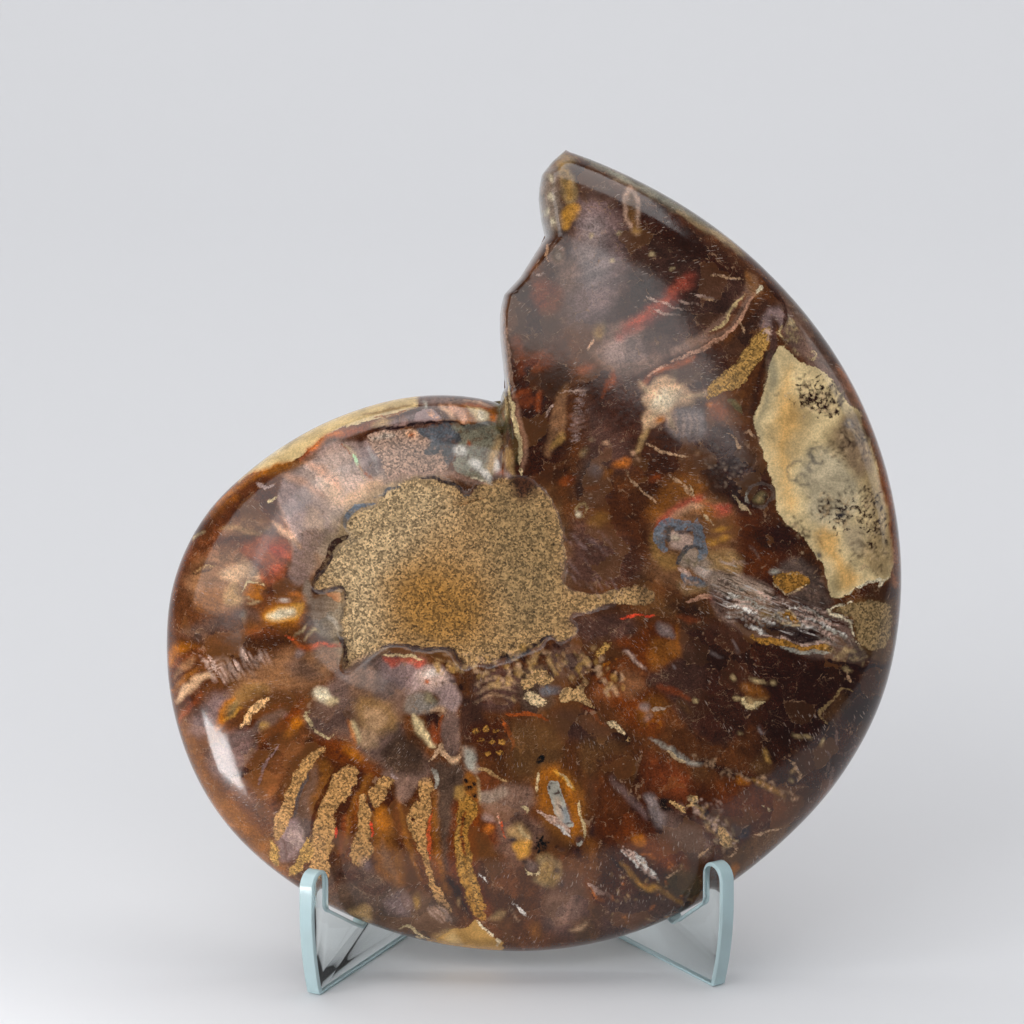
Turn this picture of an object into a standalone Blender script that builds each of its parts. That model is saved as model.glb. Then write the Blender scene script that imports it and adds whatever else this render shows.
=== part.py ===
"""Half of a sawn and polished ammonite, leaning on a clear display stand of two crossed plates.

The fossil is one solid: a flat sawn face, and over it the polished outer flank, whose whorl
widens over one turn from the step beside the aperture. Each plate of the stand is one solid.
Sizes are in millimetres and degrees, and become metres where a mesh is made.
"""

from math import acos, atan2, ceil, cos, degrees, hypot, pi, radians, sin, tan

import bmesh
import bpy
import numpy as np
from mathutils import Vector
from mathutils.geometry import delaunay_2d_cdt

MM = 0.001

# How the fossil stands. Its sawn face leans back, top away from the viewer, and the lowest point of
# that face is LOWEST_POINT behind and above the place under the middle of the face.
LEAN = 16.0
LOWEST_POINT = (-22.1, 3.45)

# The flank's outline about the centre of the umbilicus: turn anticlockwise from the step beside the
# aperture, and radius. The whorl goes on a little way under the step and past the tip.
STEP_DIRECTION = 75.0
FIRST_TURN, LAST_TURN = -30.0, 366.0
OUTLINE_RADII = [
    (FIRST_TURN, 32.6), (0, 32.7), (24, 33.2), (48, 35.1), (66, 38.3), (78, 41.5), (90, 45.6),
    (108, 50.9), (120, 53.6), (132, 56.5), (150, 60.6), (174, 64.2), (198, 68.3), (210, 70.9), (222, 73.4),
    (246, 77.8), (258, 80.4), (270, 82.2), (279, 82.5), (306, 81.7), (330, 80.2), (350, 79.9),
    (LAST_TURN, 80.9),
]

# The foot of the aperture's wall, from inside the umbilicus up to the tip: across and up. The wall
# runs in by WALL_RUN, by height up the edge, before it is level with the flank.
APERTURE_FOOT = [
    (8.4, 16.5), (9.1, 24.7), (9.0, 30.2), (9.3, 33.1), (10.1, 34.2), (9.1, 43.9), (9.1, 47.6),
    (9.7, 50.9), (12.8, 54.3), (17.4, 61.7), (16.6, 64.9), (16.1, 69.5), (16.8, 73.2), (18.7, 75.6),
    (21.2, 77.8),
]
WALL_RUN = [(16.5, 4.2), (25.0, 3.6), (31.0, 2.6), (36.0, 1.3), (55.0, 2.0), (66.0, 3.6), (78.0, 3.0)]
FACE_CORNER_HEIGHT = 32.0

# Half thickness of the whorl by turn, how far in from the outline it is reached, and the roundness.
THICKNESS = [(0, 12.6), (90, 12.4), (180, 14.0), (270, 16.2), (360, 16.6)]
WHORL_REACH = [(0, 15.0), (90, 26.0), (180, 38.0), (270, 46.0)]
SHOULDER_POWER = 2.2
EDGE_POWER = 0.377

# Sandy fill of the umbilicus: radius by direction, level at the centre, tilt and recess. The flank
# comes down to it over FILL_SHOULDER.
FILL_RADII = [
    (-180, 21.5), (-150, 20.5), (-120, 17.5), (-90, 16.5), (-60, 19.5), (-30, 22.5), (0, 22.5),
    (60, 20.5), (90, 16.5), (120, 18.5), (150, 21.5), (180, 21.5),
]
FILL_LEVEL = 14.2
FILL_TILT = 0.085
FILL_RECESS = 0.6
FILL_BLEND = 1.4
FILL_SHOULDER = 9.0

# Spacing of the fossil's facets along the edge and over the flank, how far in the lines beside the
# edge lie, and where the lines up the aperture's wall lie as shares of its run.
EDGE_STEP = 2.9
WALL_STEP = 2.2
FLANK_STEP = 3.1
EDGE_LINES = [0.25, 0.9, 2.0, 3.8, 6.6]
WALL_LINES = [0.12, 0.45, 1.0]
LEAST_GAP = 0.1
LINE_GAP = 1.1
WALL_ZONE = 12.0

# The stand: plates of clear sheet that cross behind the fossil. Each has its own direction across
# the floor, in degrees off straight back, and its own height where the seat meets the upright.
SHEET = 3.0
CROSSING = (-6.8, 29.3)
PLATES = {
    "stand_left_plate": {"side": -1, "angle": 27.2, "seat_end": 7.45, "slot_from_above": True},
    "stand_right_plate": {"side": 1, "angle": 33.9, "seat_end": 8.1, "slot_from_above": False},
}

# A plate's side view: distance back from its front, and height.
FOOT = (2.4, 0.0)
BULGE = (0.0, 12.0)
FINGER_DEPTH = 6.0
FINGER_TOP = 23.7
NOTCH = (5.9, 15.5)
NOTCH_ROUNDING = 1.6
SEAT_ROUNDING = 1.2
UPRIGHT_TOP = 66.4
UPRIGHT_WIDTH = 9.0
SWEEP = (55.5, 34.5)
CROSSING_RUN = 74.7
CROSSING_HEIGHT = 22.0
CROSSING_WIDTH = 8.8
TAIL = (89.5, 12.1)
TAIL_END = (98.7, 4.0)
HEEL_ROUNDING = 2.5
SLOT_WIDTH = 5.8
SLOT_MIDDLE = 11.0
SHEET_ROUNDING = 0.3
ARC_STEP = 18.0

# What stands in for contact between two pieces.
GAP = 0.3

POLISHED_FOSSIL = {"colour": (0.115, 0.052, 0.028, 1.0), "roughness": 0.22}
CLEAR_SHEET = {"colour": (0.72, 0.86, 0.88, 1.0), "roughness": 0.05}
CLEAR_SHEET_IOR = 1.49


def clear_scene():
    for item in list(bpy.data.objects):
        bpy.data.objects.remove(item)


def material(name, colour, roughness):
    made = bpy.data.materials.new(name)
    made.use_nodes = True
    shader = made.node_tree.nodes["Principled BSDF"]
    shader.inputs["Base Color"].default_value = colour
    shader.inputs["Roughness"].default_value = roughness
    shader.inputs["Metallic"].default_value = 0.0
    return made


def clear_material(name):
    made = material(name, **CLEAR_SHEET)
    shader = made.node_tree.nodes["Principled BSDF"]
    shader.inputs["Transmission Weight"].default_value = 1.0
    shader.inputs["IOR"].default_value = CLEAR_SHEET_IOR
    return made


def along(pairs, at):
    """The value of a table of pairs, with straight lines between them, at one place or many."""
    places, values = zip(*pairs)
    return np.interp(at, places, values)


def smoothed(pairs):
    """The table with a smooth curve through its points, one pair for each unit of its places."""
    places, values = (np.array(column, float) for column in zip(*pairs))
    slopes = np.gradient(values, places)
    at = np.append(np.arange(places[0], places[-1], 1.0), places[-1])
    index = np.clip(np.searchsorted(places, at, side="right") - 1, 0, len(places) - 2)
    width = places[index + 1] - places[index]
    t = (at - places[index]) / width
    rising = 3 * t**2 - 2 * t**3
    curve = (1.0 - rising) * values[index] + rising * values[index + 1]
    curve += (t**3 - 2 * t**2 + t) * width * slopes[index]
    curve += (t**3 - t**2) * width * slopes[index + 1]
    return list(zip(at, curve))


def smooth_step(share):
    share = np.clip(share, 0.0, 1.0)
    return share * share * (3.0 - 2.0 * share)


OUTLINE = smoothed(OUTLINE_RADII)
FOOT_BY_HEIGHT = [(up, across) for across, up in APERTURE_FOOT]


def rise(inset, reach):
    """The rounded climb from the sawn edge: 0 at the edge, 1 where the flank has its full height."""
    share = np.clip(inset / reach, 0.0, 1.0)
    return (1.0 - (1.0 - share) ** SHOULDER_POWER) ** EDGE_POWER


def flank_height(turn, radius):
    """Height of the whorl over the sawn face."""
    inset = along(OUTLINE, turn) - radius
    return along(THICKNESS, turn) * rise(inset, along(WHORL_REACH, turn))


def wall_height(across, up):
    """The climb of the aperture's wall: 0 in front of it, 1 behind it and below its foot."""
    foot = along(FOOT_BY_HEIGHT, up)
    slope = along(FOOT_BY_HEIGHT, up + 0.5) - along(FOOT_BY_HEIGHT, up - 0.5)
    inset = (across - foot) / np.sqrt(1.0 + slope**2)
    return np.where(up > APERTURE_FOOT[0][1], rise(inset, along(WALL_RUN, up)), 1.0)


def height(across, up):
    """Height of the polished side over the sawn face, for arrays of places."""
    radius = np.hypot(across, up)
    direction = np.degrees(np.arctan2(up, across))
    turn = (direction - STEP_DIRECTION) % 360.0

    early_turn = np.where(turn > 180.0, turn - 360.0, turn)
    early = np.where(early_turn > FIRST_TURN, flank_height(early_turn, radius), 0.0)
    past_tip = (turn < 90.0) & (up > APERTURE_FOOT[0][1])
    late_turn = np.where(past_tip, turn + 360.0, turn)
    late = flank_height(np.minimum(late_turn, LAST_TURN), radius) * wall_height(across, up)
    late = np.where(late_turn > 180.0, late, 0.0)
    flank = np.maximum(early, late)

    level = FILL_LEVEL + FILL_TILT * across
    beyond_fill = radius - along(FILL_RADII, direction)
    climb = smooth_step(beyond_fill / FILL_SHOULDER)
    flank = np.minimum(flank, level + (flank - level) * climb)
    fill = smooth_step(0.5 - beyond_fill / (2 * FILL_BLEND))
    return flank * (1.0 - fill) + (level - FILL_RECESS) * fill


def resampled(points, step):
    """Points spaced evenly, about one step apart, along a line of points, its ends kept."""
    points = np.array(points, float)
    run = np.append(0.0, np.cumsum(np.hypot(*np.diff(points, axis=0).T)))
    at = np.linspace(0.0, run[-1], max(2, round(run[-1] / step) + 1))
    return np.stack([np.interp(at, run, points[:, k]) for k in (0, 1)], axis=1)


def spiral_edge():
    """The edge of the flank on the sawn face, anticlockwise from the step to the tip."""
    turns = np.arange(1.0, 360.0)
    directions = np.radians(STEP_DIRECTION + turns)
    radii = along(OUTLINE, turns)
    return resampled(np.stack([radii * np.cos(directions), radii * np.sin(directions)], axis=1), EDGE_STEP)


def inset_line(line, inset):
    """A line moved over to its left, which on the spiral edge is inwards."""
    ahead = np.gradient(line, axis=0)
    ahead /= np.hypot(*ahead.T)[:, None]
    return line + inset * np.stack([-ahead[:, 1], ahead[:, 0]], axis=1)


def wall_line(share):
    """The foot of the aperture's wall, moved in by a share of the wall's run."""
    foot = resampled(APERTURE_FOOT, WALL_STEP)
    run = along(WALL_RUN, foot[:, 1])
    return foot + np.stack([share * run, np.zeros(len(foot))], axis=1)


def face_outline():
    """The closed outline of the sawn face, anticlockwise from the step beside the aperture."""
    foot = wall_line(0.0)
    return np.concatenate([spiral_edge(), foot[foot[:, 1] > FACE_CORNER_HEIGHT][::-1]])


def inside(points, outline):
    """Which points lie within a closed outline."""
    within = np.zeros(len(points), bool)
    for (x0, y0), (x1, y1) in zip(outline, np.roll(outline, -1, axis=0)):
        if y0 != y1:
            crosses = (y0 > points[:, 1]) != (y1 > points[:, 1])
            within ^= crosses & (points[:, 0] < (x1 - x0) * (points[:, 1] - y0) / (y1 - y0) + x0)
    return within


def distance_to_line(points, line, closed=False):
    ends = np.roll(line, -1, axis=0) if closed else line[1:]
    nearest = np.full(len(points), np.inf)
    for start, end in zip(line, ends):
        run = end - start
        share = np.clip(((points - start) @ run) / (run @ run), 0.0, 1.0)
        nearest = np.minimum(nearest, np.hypot(*(points - start - share[:, None] * run).T))
    return nearest


def apart(points, others, least):
    """The points that are farther than least from every other."""
    gaps = np.hypot(*(points[:, None, :] - others[None, :, :]).transpose(2, 0, 1)).min(axis=1)
    return points[gaps > least]


def triangle_grid(reach):
    """Points spaced FLANK_STEP apart over a square, every other row shifted by half a step."""
    places = []
    for number, up in enumerate(np.arange(-reach, reach, FLANK_STEP * sin(radians(60.0)))):
        shift = FLANK_STEP / 2 * (number % 2)
        places += [(across + shift, up) for across in np.arange(-reach, reach, FLANK_STEP)]
    return np.array(places)


def flank_points(outline):
    """Places inside the outline where the flank is sampled."""
    edge = spiral_edge()
    beside_edge = [inset_line(edge, inset) for inset in EDGE_LINES]
    beside_edge = [line[distance_to_line(line, outline, closed=True) > inset * 0.97]
                   for line, inset in zip(beside_edge, EDGE_LINES)]
    beside_edge = np.concatenate(beside_edge)
    beside_edge = beside_edge[inside(beside_edge, outline)]

    foot = wall_line(0.0)
    wall = np.concatenate([foot[foot[:, 1] < FACE_CORNER_HEIGHT], *(wall_line(k) for k in WALL_LINES)])
    wall = wall[inside(wall, outline) & (distance_to_line(wall, outline, closed=True) > LEAST_GAP)]
    lines = np.concatenate([wall, apart(beside_edge, wall, LINE_GAP)])

    rest = triangle_grid(max(radius for _, radius in OUTLINE_RADII))
    rest = rest[inside(rest, outline)]
    past_lines = distance_to_line(rest, outline, closed=True) > EDGE_LINES[-1] + FLANK_STEP / 2
    by_wall = distance_to_line(rest, wall_line(1.0)) < WALL_ZONE
    rest = apart(rest[past_lines | by_wall], np.concatenate([lines, outline]), FLANK_STEP * 0.6)
    return np.concatenate([lines, rest])


def flank_mesh():
    """The fossil as one closed mesh: a triangulated flank over a flat face at height 0."""
    outline = face_outline()
    places = [Vector(place) for place in np.concatenate([outline, flank_points(outline)])]
    border = [(k, (k + 1) % len(outline)) for k in range(len(outline))]
    places, _, faces, *_ = delaunay_2d_cdt(places, border, [], 1, 1e-4, False)
    flat = np.array([tuple(place) for place in places])
    heights = height(flat[:, 0], flat[:, 1])
    heights[distance_to_line(flat, outline, closed=True) < 1e-3] = 0.0

    mesh = bmesh.new()
    corners = [mesh.verts.new((x * MM, y * MM, z * MM)) for (x, y), z in zip(flat, heights)]
    middles = np.array([flat[list(face)].mean(axis=0) for face in faces])
    for face, within in zip(faces, inside(middles, outline)):
        if within:
            mesh.faces.new([corners[k] for k in face])
    bmesh.ops.contextual_create(mesh, geom=[edge for edge in mesh.edges if edge.is_boundary])
    bmesh.ops.triangulate(mesh, faces=[face for face in mesh.faces if len(face.verts) > 3])
    bmesh.ops.recalc_face_normals(mesh, faces=mesh.faces)
    return mesh, outline


def finished(name, mesh, finish, smooth_angle):
    """Turns a mesh under construction into an object, shaded smooth up to smooth_angle."""
    data = bpy.data.meshes.new(name)
    mesh.to_mesh(data)
    mesh.free()
    data.materials.append(finish)
    data.shade_smooth()
    data.set_sharp_from_angle(angle=radians(smooth_angle))
    made = bpy.data.objects.new(name, data)
    bpy.context.scene.collection.objects.link(made)
    return made


def make_fossil():
    """The sawn half, its face leaning back and centred across."""
    mesh, outline = flank_mesh()
    fossil = finished("ammonite_half", mesh, material("ammonite_half", **POLISHED_FOSSIL), 35.0)
    fossil.rotation_euler = (radians(90.0 - LEAN), 0.0, 0.0)
    middle = (outline[:, 0].min() + outline[:, 0].max()) / 2
    lowest = outline[:, 1].min()
    fossil.location = (
        -middle * MM,
        (LOWEST_POINT[0] - lowest * sin(radians(LEAN))) * MM,
        (LOWEST_POINT[1] - lowest * cos(radians(LEAN))) * MM,
    )
    return fossil


def arc(centre, radius, start, sweep):
    """Points along an arc, from a direction in degrees over a sweep, ends included."""
    steps = max(2, ceil(abs(sweep) / ARC_STEP))
    turns = [radians(start + sweep * k / steps) for k in range(steps + 1)]
    return [(centre[0] + radius * cos(turn), centre[1] + radius * sin(turn)) for turn in turns]


def arc_through(first, middle, last, steps):
    """Points along the circle through three points, from the first to the last."""
    (ax, ay), (bx, by), (cx, cy) = first, middle, last
    d = 2 * (ax * (by - cy) + bx * (cy - ay) + cx * (ay - by))
    a2, b2, c2 = ax * ax + ay * ay, bx * bx + by * by, cx * cx + cy * cy
    x = (a2 * (by - cy) + b2 * (cy - ay) + c2 * (ay - by)) / d
    y = (a2 * (cx - bx) + b2 * (ax - cx) + c2 * (bx - ax)) / d
    start, through, end = (atan2(v - y, u - x) for u, v in (first, middle, last))
    sweep = (end - start) % (2 * pi)
    if (through - start) % (2 * pi) > sweep:
        sweep -= 2 * pi
    turns = [start + sweep * k / steps for k in range(steps + 1)]
    radius = hypot(ax - x, ay - y)
    return [(x + radius * cos(turn), y + radius * sin(turn)) for turn in turns]


def rounded(corners):
    """An outline from corners, each a place and the radius that rounds it."""
    outline = []
    for number, (place, radius) in enumerate(corners):
        if radius == 0.0:
            outline.append(place)
            continue
        corner = Vector(place)
        back = (Vector(corners[number - 1][0]) - corner).normalized()
        ahead = (Vector(corners[(number + 1) % len(corners)][0]) - corner).normalized()
        half = acos(back.dot(ahead)) / 2
        centre = corner + (back + ahead).normalized() * radius / sin(half)
        start = corner + back * radius / tan(half) - centre
        end = corner + ahead * radius / tan(half) - centre
        sweep = degrees(atan2(start.cross(end), start.dot(end)))
        outline += arc(centre, radius, degrees(atan2(start.y, start.x)), sweep)
    return outline


def upright_front(angle, up):
    """How far back an upright's front edge is at a height, so that it clears the leaning sawn face."""
    turn, lean = radians(angle), radians(LEAN)
    plate_front = CROSSING[1] - CROSSING_RUN * cos(turn)
    sawn_face = LOWEST_POINT[0] + (up - LOWEST_POINT[1]) * tan(lean)
    clear = GAP / cos(lean) + SHEET / 2 * sin(turn)
    return (sawn_face + clear - plate_front) / cos(turn)


def plate_outline(angle, seat_end, slot_from_above):
    """A plate's side view, clockwise from its front foot."""
    slot_front = CROSSING_RUN - SLOT_WIDTH / 2
    slot_back = CROSSING_RUN + SLOT_WIDTH / 2
    top_front = upright_front(angle, UPRIGHT_TOP)
    front = arc_through(FOOT, BULGE, (0.0, FINGER_TOP - FINGER_DEPTH / 2), 8)
    sweep_start = (top_front + UPRIGHT_WIDTH, UPRIGHT_TOP - UPRIGHT_WIDTH / 2)
    sweep = arc_through(sweep_start, SWEEP, (CROSSING_RUN - CROSSING_WIDTH / 2, CROSSING_HEIGHT), 10)
    tail = arc_through((CROSSING_RUN + CROSSING_WIDTH / 2, CROSSING_HEIGHT - 1.0), TAIL, TAIL_END, 8)
    corners = [(place, 0.0) for place in front[:-1]]
    corners += [
        ((0.0, FINGER_TOP), FINGER_DEPTH / 2 - 0.05),
        ((FINGER_DEPTH, FINGER_TOP), FINGER_DEPTH / 2 - 0.05),
        (NOTCH, NOTCH_ROUNDING),
        ((upright_front(angle, seat_end), seat_end), SEAT_ROUNDING),
        ((top_front, UPRIGHT_TOP), UPRIGHT_WIDTH / 2 - 0.6),
        ((top_front + UPRIGHT_WIDTH, UPRIGHT_TOP), UPRIGHT_WIDTH / 2 - 0.6),
    ]
    corners += [(place, 0.0) for place in sweep]
    if slot_from_above:
        middle = SLOT_MIDDLE - GAP / 2
        slot = [(slot_front, CROSSING_HEIGHT), (slot_front, middle), (slot_back, middle)]
        corners += [(place, 0.0) for place in (*slot, (slot_back, CROSSING_HEIGHT - 0.6))]
    corners += [(place, 0.0) for place in tail]
    corners.append(((TAIL_END[0] + 0.8, 0.0), HEEL_ROUNDING))
    if not slot_from_above:
        middle = SLOT_MIDDLE + GAP / 2
        slot = [(slot_back, 0.0), (slot_back, middle), (slot_front, middle), (slot_front, 0.0)]
        corners += [(place, 0.0) for place in slot]
    return rounded(corners)


def make_plate(name, side, angle, seat_end, slot_from_above):
    """One plate of the stand. side is -1 for the plate whose front is at the left, 1 at the right."""
    mesh = bmesh.new()
    outline = plate_outline(angle, seat_end, slot_from_above)
    corners = [mesh.verts.new((back * MM, -SHEET / 2 * MM, up * MM)) for back, up in outline]
    pushed = bmesh.ops.extrude_face_region(mesh, geom=[mesh.faces.new(corners)])
    moved = [item for item in pushed["geom"] if isinstance(item, bmesh.types.BMVert)]
    bmesh.ops.translate(mesh, verts=moved, vec=(0.0, SHEET * MM, 0.0))
    bmesh.ops.recalc_face_normals(mesh, faces=mesh.faces)
    sharp = [edge for edge in mesh.edges if edge.calc_face_angle() > radians(60.0)]
    bmesh.ops.bevel(mesh, geom=sharp, offset=SHEET_ROUNDING * MM, segments=1, affect="EDGES")
    bmesh.ops.triangulate(mesh, faces=[face for face in mesh.faces if len(face.verts) > 4])
    plate = finished(name, mesh, clear_material(name), 30.0)
    turn = radians(angle)
    plate.rotation_euler = (0.0, 0.0, pi / 2 + side * turn)
    plate.location = (
        (CROSSING[0] + side * CROSSING_RUN * sin(turn)) * MM,
        (CROSSING[1] - CROSSING_RUN * cos(turn)) * MM,
        0.0,
    )
    return plate


def centre_on_origin(things):
    """Moves all pieces together so that the whole stands over the origin."""
    bpy.context.view_layer.update()
    corners = [thing.matrix_world @ corner.co for thing in things for corner in thing.data.vertices]
    for axis in (0, 1):
        middle = (min(c[axis] for c in corners) + max(c[axis] for c in corners)) / 2
        for thing in things:
            thing.location[axis] -= middle


def main():
    clear_scene()
    fossil = make_fossil()
    plates = [make_plate(name, **shape) for name, shape in PLATES.items()]
    centre_on_origin([fossil, *plates])


main()
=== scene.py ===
# %% [markdown]
# # A polished ammonite half on its display stand
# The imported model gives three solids: the fossil and the two plates of its stand. This script keeps
# their shapes and places, gives the fossil a finer skin with its stone drawn on it, and lights and
# frames the whole as in the photograph. Everything is in metres, with the floor at height 0.

from math import cos, pi, radians, sin

import bmesh
import bpy
import numpy as np
from mathutils import Matrix, Vector, noise


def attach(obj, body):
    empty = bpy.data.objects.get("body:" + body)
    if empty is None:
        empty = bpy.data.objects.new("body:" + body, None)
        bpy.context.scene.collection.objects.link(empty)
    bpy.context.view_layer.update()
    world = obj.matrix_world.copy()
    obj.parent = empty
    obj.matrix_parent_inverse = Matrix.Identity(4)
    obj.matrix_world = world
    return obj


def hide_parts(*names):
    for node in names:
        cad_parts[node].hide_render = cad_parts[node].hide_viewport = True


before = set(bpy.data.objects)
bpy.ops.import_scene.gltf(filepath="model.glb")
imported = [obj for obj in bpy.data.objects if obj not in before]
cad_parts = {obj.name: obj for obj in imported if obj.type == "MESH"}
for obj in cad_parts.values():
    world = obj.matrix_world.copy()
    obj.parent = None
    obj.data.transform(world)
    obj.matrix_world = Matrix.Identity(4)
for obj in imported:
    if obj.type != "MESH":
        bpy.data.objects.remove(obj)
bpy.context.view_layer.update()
print("solids:", sorted(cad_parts))

# %% [markdown]
# ## Sizes in the frame of the sawn face
# The fossil leans back, so its stone is easiest to draw on a flat sheet that leans with it. Places
# on that sheet are in millimetres from the middle of the umbilicus: across to the right, and up.

# %% The sheet that leans with the sawn face
MM = 0.001
LEAN = radians(16.0)
FACE_ORIGIN = Vector((-15.36, -9.936, 69.527)) * MM
FACE_TILT = pi / 2 - LEAN
face_to_room = Matrix.Translation(FACE_ORIGIN) @ Matrix.Rotation(FACE_TILT, 4, "X")
FACE_MIDDLE = (11.343, 11.526)
VIEW_DISTANCE = 900.0


def coordinates(thing):
    """All corners of a mesh, as an array in millimetres on the sheet and above it."""
    places = np.zeros(len(thing.data.vertices) * 3)
    thing.data.vertices.foreach_get("co", places)
    to_face = np.array(face_to_room.inverted())
    places = places.reshape(-1, 3) @ to_face[:3, :3].T + to_face[:3, 3]
    return places / MM


def set_coordinates(thing, places):
    """Puts a mesh's corners where an array in millimetres on the sheet says."""
    to_room = np.array(face_to_room)
    places = (places * MM) @ to_room[:3, :3].T + to_room[:3, 3]
    thing.data.vertices.foreach_set("co", places.ravel())
    thing.data.update()


# %% [markdown]
# ## The height of the flank
# The same measures as in the part's source: the radius of the whorl's edge over one turn, its half
# thickness, and the foot of the aperture's wall. A finer mesh takes its heights from them.

# %% Measures of the whorl
STEP_DIRECTION = 75.0
FIRST_TURN, LAST_TURN = -30.0, 366.0
OUTLINE_RADII = [
    (FIRST_TURN, 32.6), (0, 32.7), (24, 33.2), (48, 35.1), (66, 38.3), (78, 41.5), (90, 45.6),
    (108, 50.9), (120, 53.6), (132, 56.5), (150, 60.6), (174, 64.2), (198, 68.3), (210, 70.9),
    (222, 73.4), (246, 77.8), (258, 80.4), (270, 82.2), (279, 82.5), (306, 81.7), (330, 80.2),
    (350, 79.9), (LAST_TURN, 80.9),
]
APERTURE_FOOT = [
    (8.4, 16.5), (9.1, 24.7), (9.0, 30.2), (9.3, 33.1), (10.1, 34.2), (9.1, 43.9), (9.1, 47.6),
    (9.7, 50.9), (12.8, 54.3), (17.4, 61.7), (16.6, 64.9), (16.1, 69.5), (16.8, 73.2), (18.7, 75.6),
    (21.2, 77.8),
]
WALL_RUN = [(16.5, 4.2), (25.0, 3.6), (31.0, 2.6), (36.0, 1.3), (55.0, 2.0), (66.0, 3.6), (78.0, 3.0)]
THICKNESS = [(0, 12.6), (90, 12.4), (180, 14.0), (270, 16.2), (360, 16.6)]
WHORL_REACH = [(0, 15.0), (90, 26.0), (180, 38.0), (270, 46.0)]
SHOULDER_POWER = 2.2
EDGE_POWER = 0.377
FILL_RADII = [
    (-180, 21.5), (-150, 20.5), (-120, 17.5), (-90, 16.5), (-60, 19.5), (-30, 22.5), (0, 22.5),
    (60, 20.5), (90, 16.5), (120, 18.5), (150, 21.5), (180, 21.5),
]
FILL_LEVEL = 14.2
FILL_TILT = 0.085
FILL_RECESS = 0.6
FILL_SHOULDER = 9.0


def along(pairs, at):
    """The value of a table of pairs, with straight lines between them."""
    places, values = zip(*pairs)
    return np.interp(at, places, values)


def smoothed(pairs):
    """The table with a smooth curve through its points, one pair for each unit of its places."""
    places, values = (np.array(column, float) for column in zip(*pairs))
    slopes = np.gradient(values, places)
    at = np.append(np.arange(places[0], places[-1], 1.0), places[-1])
    index = np.clip(np.searchsorted(places, at, side="right") - 1, 0, len(places) - 2)
    width = places[index + 1] - places[index]
    t = (at - places[index]) / width
    rising = 3 * t**2 - 2 * t**3
    curve = (1.0 - rising) * values[index] + rising * values[index + 1]
    curve += (t**3 - 2 * t**2 + t) * width * slopes[index]
    curve += (t**3 - t**2) * width * slopes[index + 1]
    return list(zip(at, curve))


def smooth_step(share):
    share = np.clip(share, 0.0, 1.0)
    return share * share * (3.0 - 2.0 * share)


OUTLINE = smoothed(OUTLINE_RADII)
FOOT_BY_HEIGHT = [(up, across) for across, up in APERTURE_FOOT]


def rise(inset, reach):
    """The rounded climb from the sawn edge: 0 at the edge, 1 where the flank has its full height."""
    share = np.clip(inset / reach, 0.0, 1.0)
    return (1.0 - (1.0 - share) ** SHOULDER_POWER) ** EDGE_POWER


def flank_height(turn, radius):
    inset = along(OUTLINE, turn) - radius
    return along(THICKNESS, turn) * rise(inset, along(WHORL_REACH, turn))


def wall_inset(across, up):
    """How far behind the foot of the aperture's wall a place is."""
    foot = along(FOOT_BY_HEIGHT, up)
    slope = along(FOOT_BY_HEIGHT, up + 0.5) - along(FOOT_BY_HEIGHT, up - 0.5)
    return (across - foot) / np.sqrt(1.0 + slope**2)


def flanks(across, up):
    """Heights of the early whorl and of the late whorl over the sawn face."""
    radius = np.hypot(across, up)
    direction = np.degrees(np.arctan2(up, across))
    turn = (direction - STEP_DIRECTION) % 360.0
    early_turn = np.where(turn > 180.0, turn - 360.0, turn)
    early = np.where(early_turn > FIRST_TURN, flank_height(early_turn, radius), 0.0)
    by_wall = up > APERTURE_FOOT[0][1]
    late_turn = np.where((turn < 90.0) & by_wall, turn + 360.0, turn)
    late = flank_height(np.minimum(late_turn, LAST_TURN), radius)
    climb = np.where(by_wall, rise(wall_inset(across, up), along(WALL_RUN, up)), 1.0)
    return early, np.where(late_turn > 180.0, late * climb, 0.0)


# %% [markdown]
# ## The fossil's skin
# The solid's facets are about 3 mm wide, too coarse for a polished stone. A copy of the solid is
# merged, every facet of the flank is cut into many, and each new corner takes its height from the
# measures above. The sawn face behind stays one flat plane.

# %% Copy and divide the fossil
CUTS = 6
SAWN_LIMIT = 0.02


def deselect_all():
    bpy.ops.object.select_all(action="DESELECT")


def copy_of(node, name):
    """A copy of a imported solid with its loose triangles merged, free of the solid's marks."""
    deselect_all()
    node.select_set(True)
    bpy.context.view_layer.objects.active = node
    bpy.ops.object.duplicate()
    made = bpy.context.view_layer.objects.active
    made.name = made.data.name = name
    made.parent = None
    for mark in [key for key in made.keys() if key.startswith("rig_")]:
        del made[mark]
    made.data.materials.clear()
    bpy.ops.object.mode_set(mode="EDIT")
    bpy.ops.mesh.select_all(action="SELECT")
    bpy.ops.mesh.remove_doubles(threshold=0.002 * MM)
    bpy.ops.mesh.customdata_custom_splitnormals_clear()
    bpy.ops.object.mode_set(mode="OBJECT")
    return made


def divide_flank(skin):
    """Cuts every facet that isn't part of the sawn face into many."""
    above = coordinates(skin)[:, 2]
    print("sawn face lies within", round(float(np.abs(above[above < SAWN_LIMIT]).max()), 4), "mm")
    bpy.ops.object.mode_set(mode="EDIT")
    bpy.ops.mesh.select_mode(type="FACE")
    bpy.ops.mesh.select_all(action="DESELECT")
    sheet = bmesh.from_edit_mesh(skin.data)
    for face in sheet.faces:
        face.select_set(any(above[corner.index] > SAWN_LIMIT for corner in face.verts))
    bmesh.update_edit_mesh(skin.data)
    bpy.ops.mesh.subdivide(number_cuts=CUTS)
    bpy.ops.object.mode_set(mode="OBJECT")


skin = copy_of(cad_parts["ammonite_half"], "ammonite_half_polished")
divide_flank(skin)
print("corners:", len(skin.data.vertices), "faces:", len(skin.data.polygons))

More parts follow.
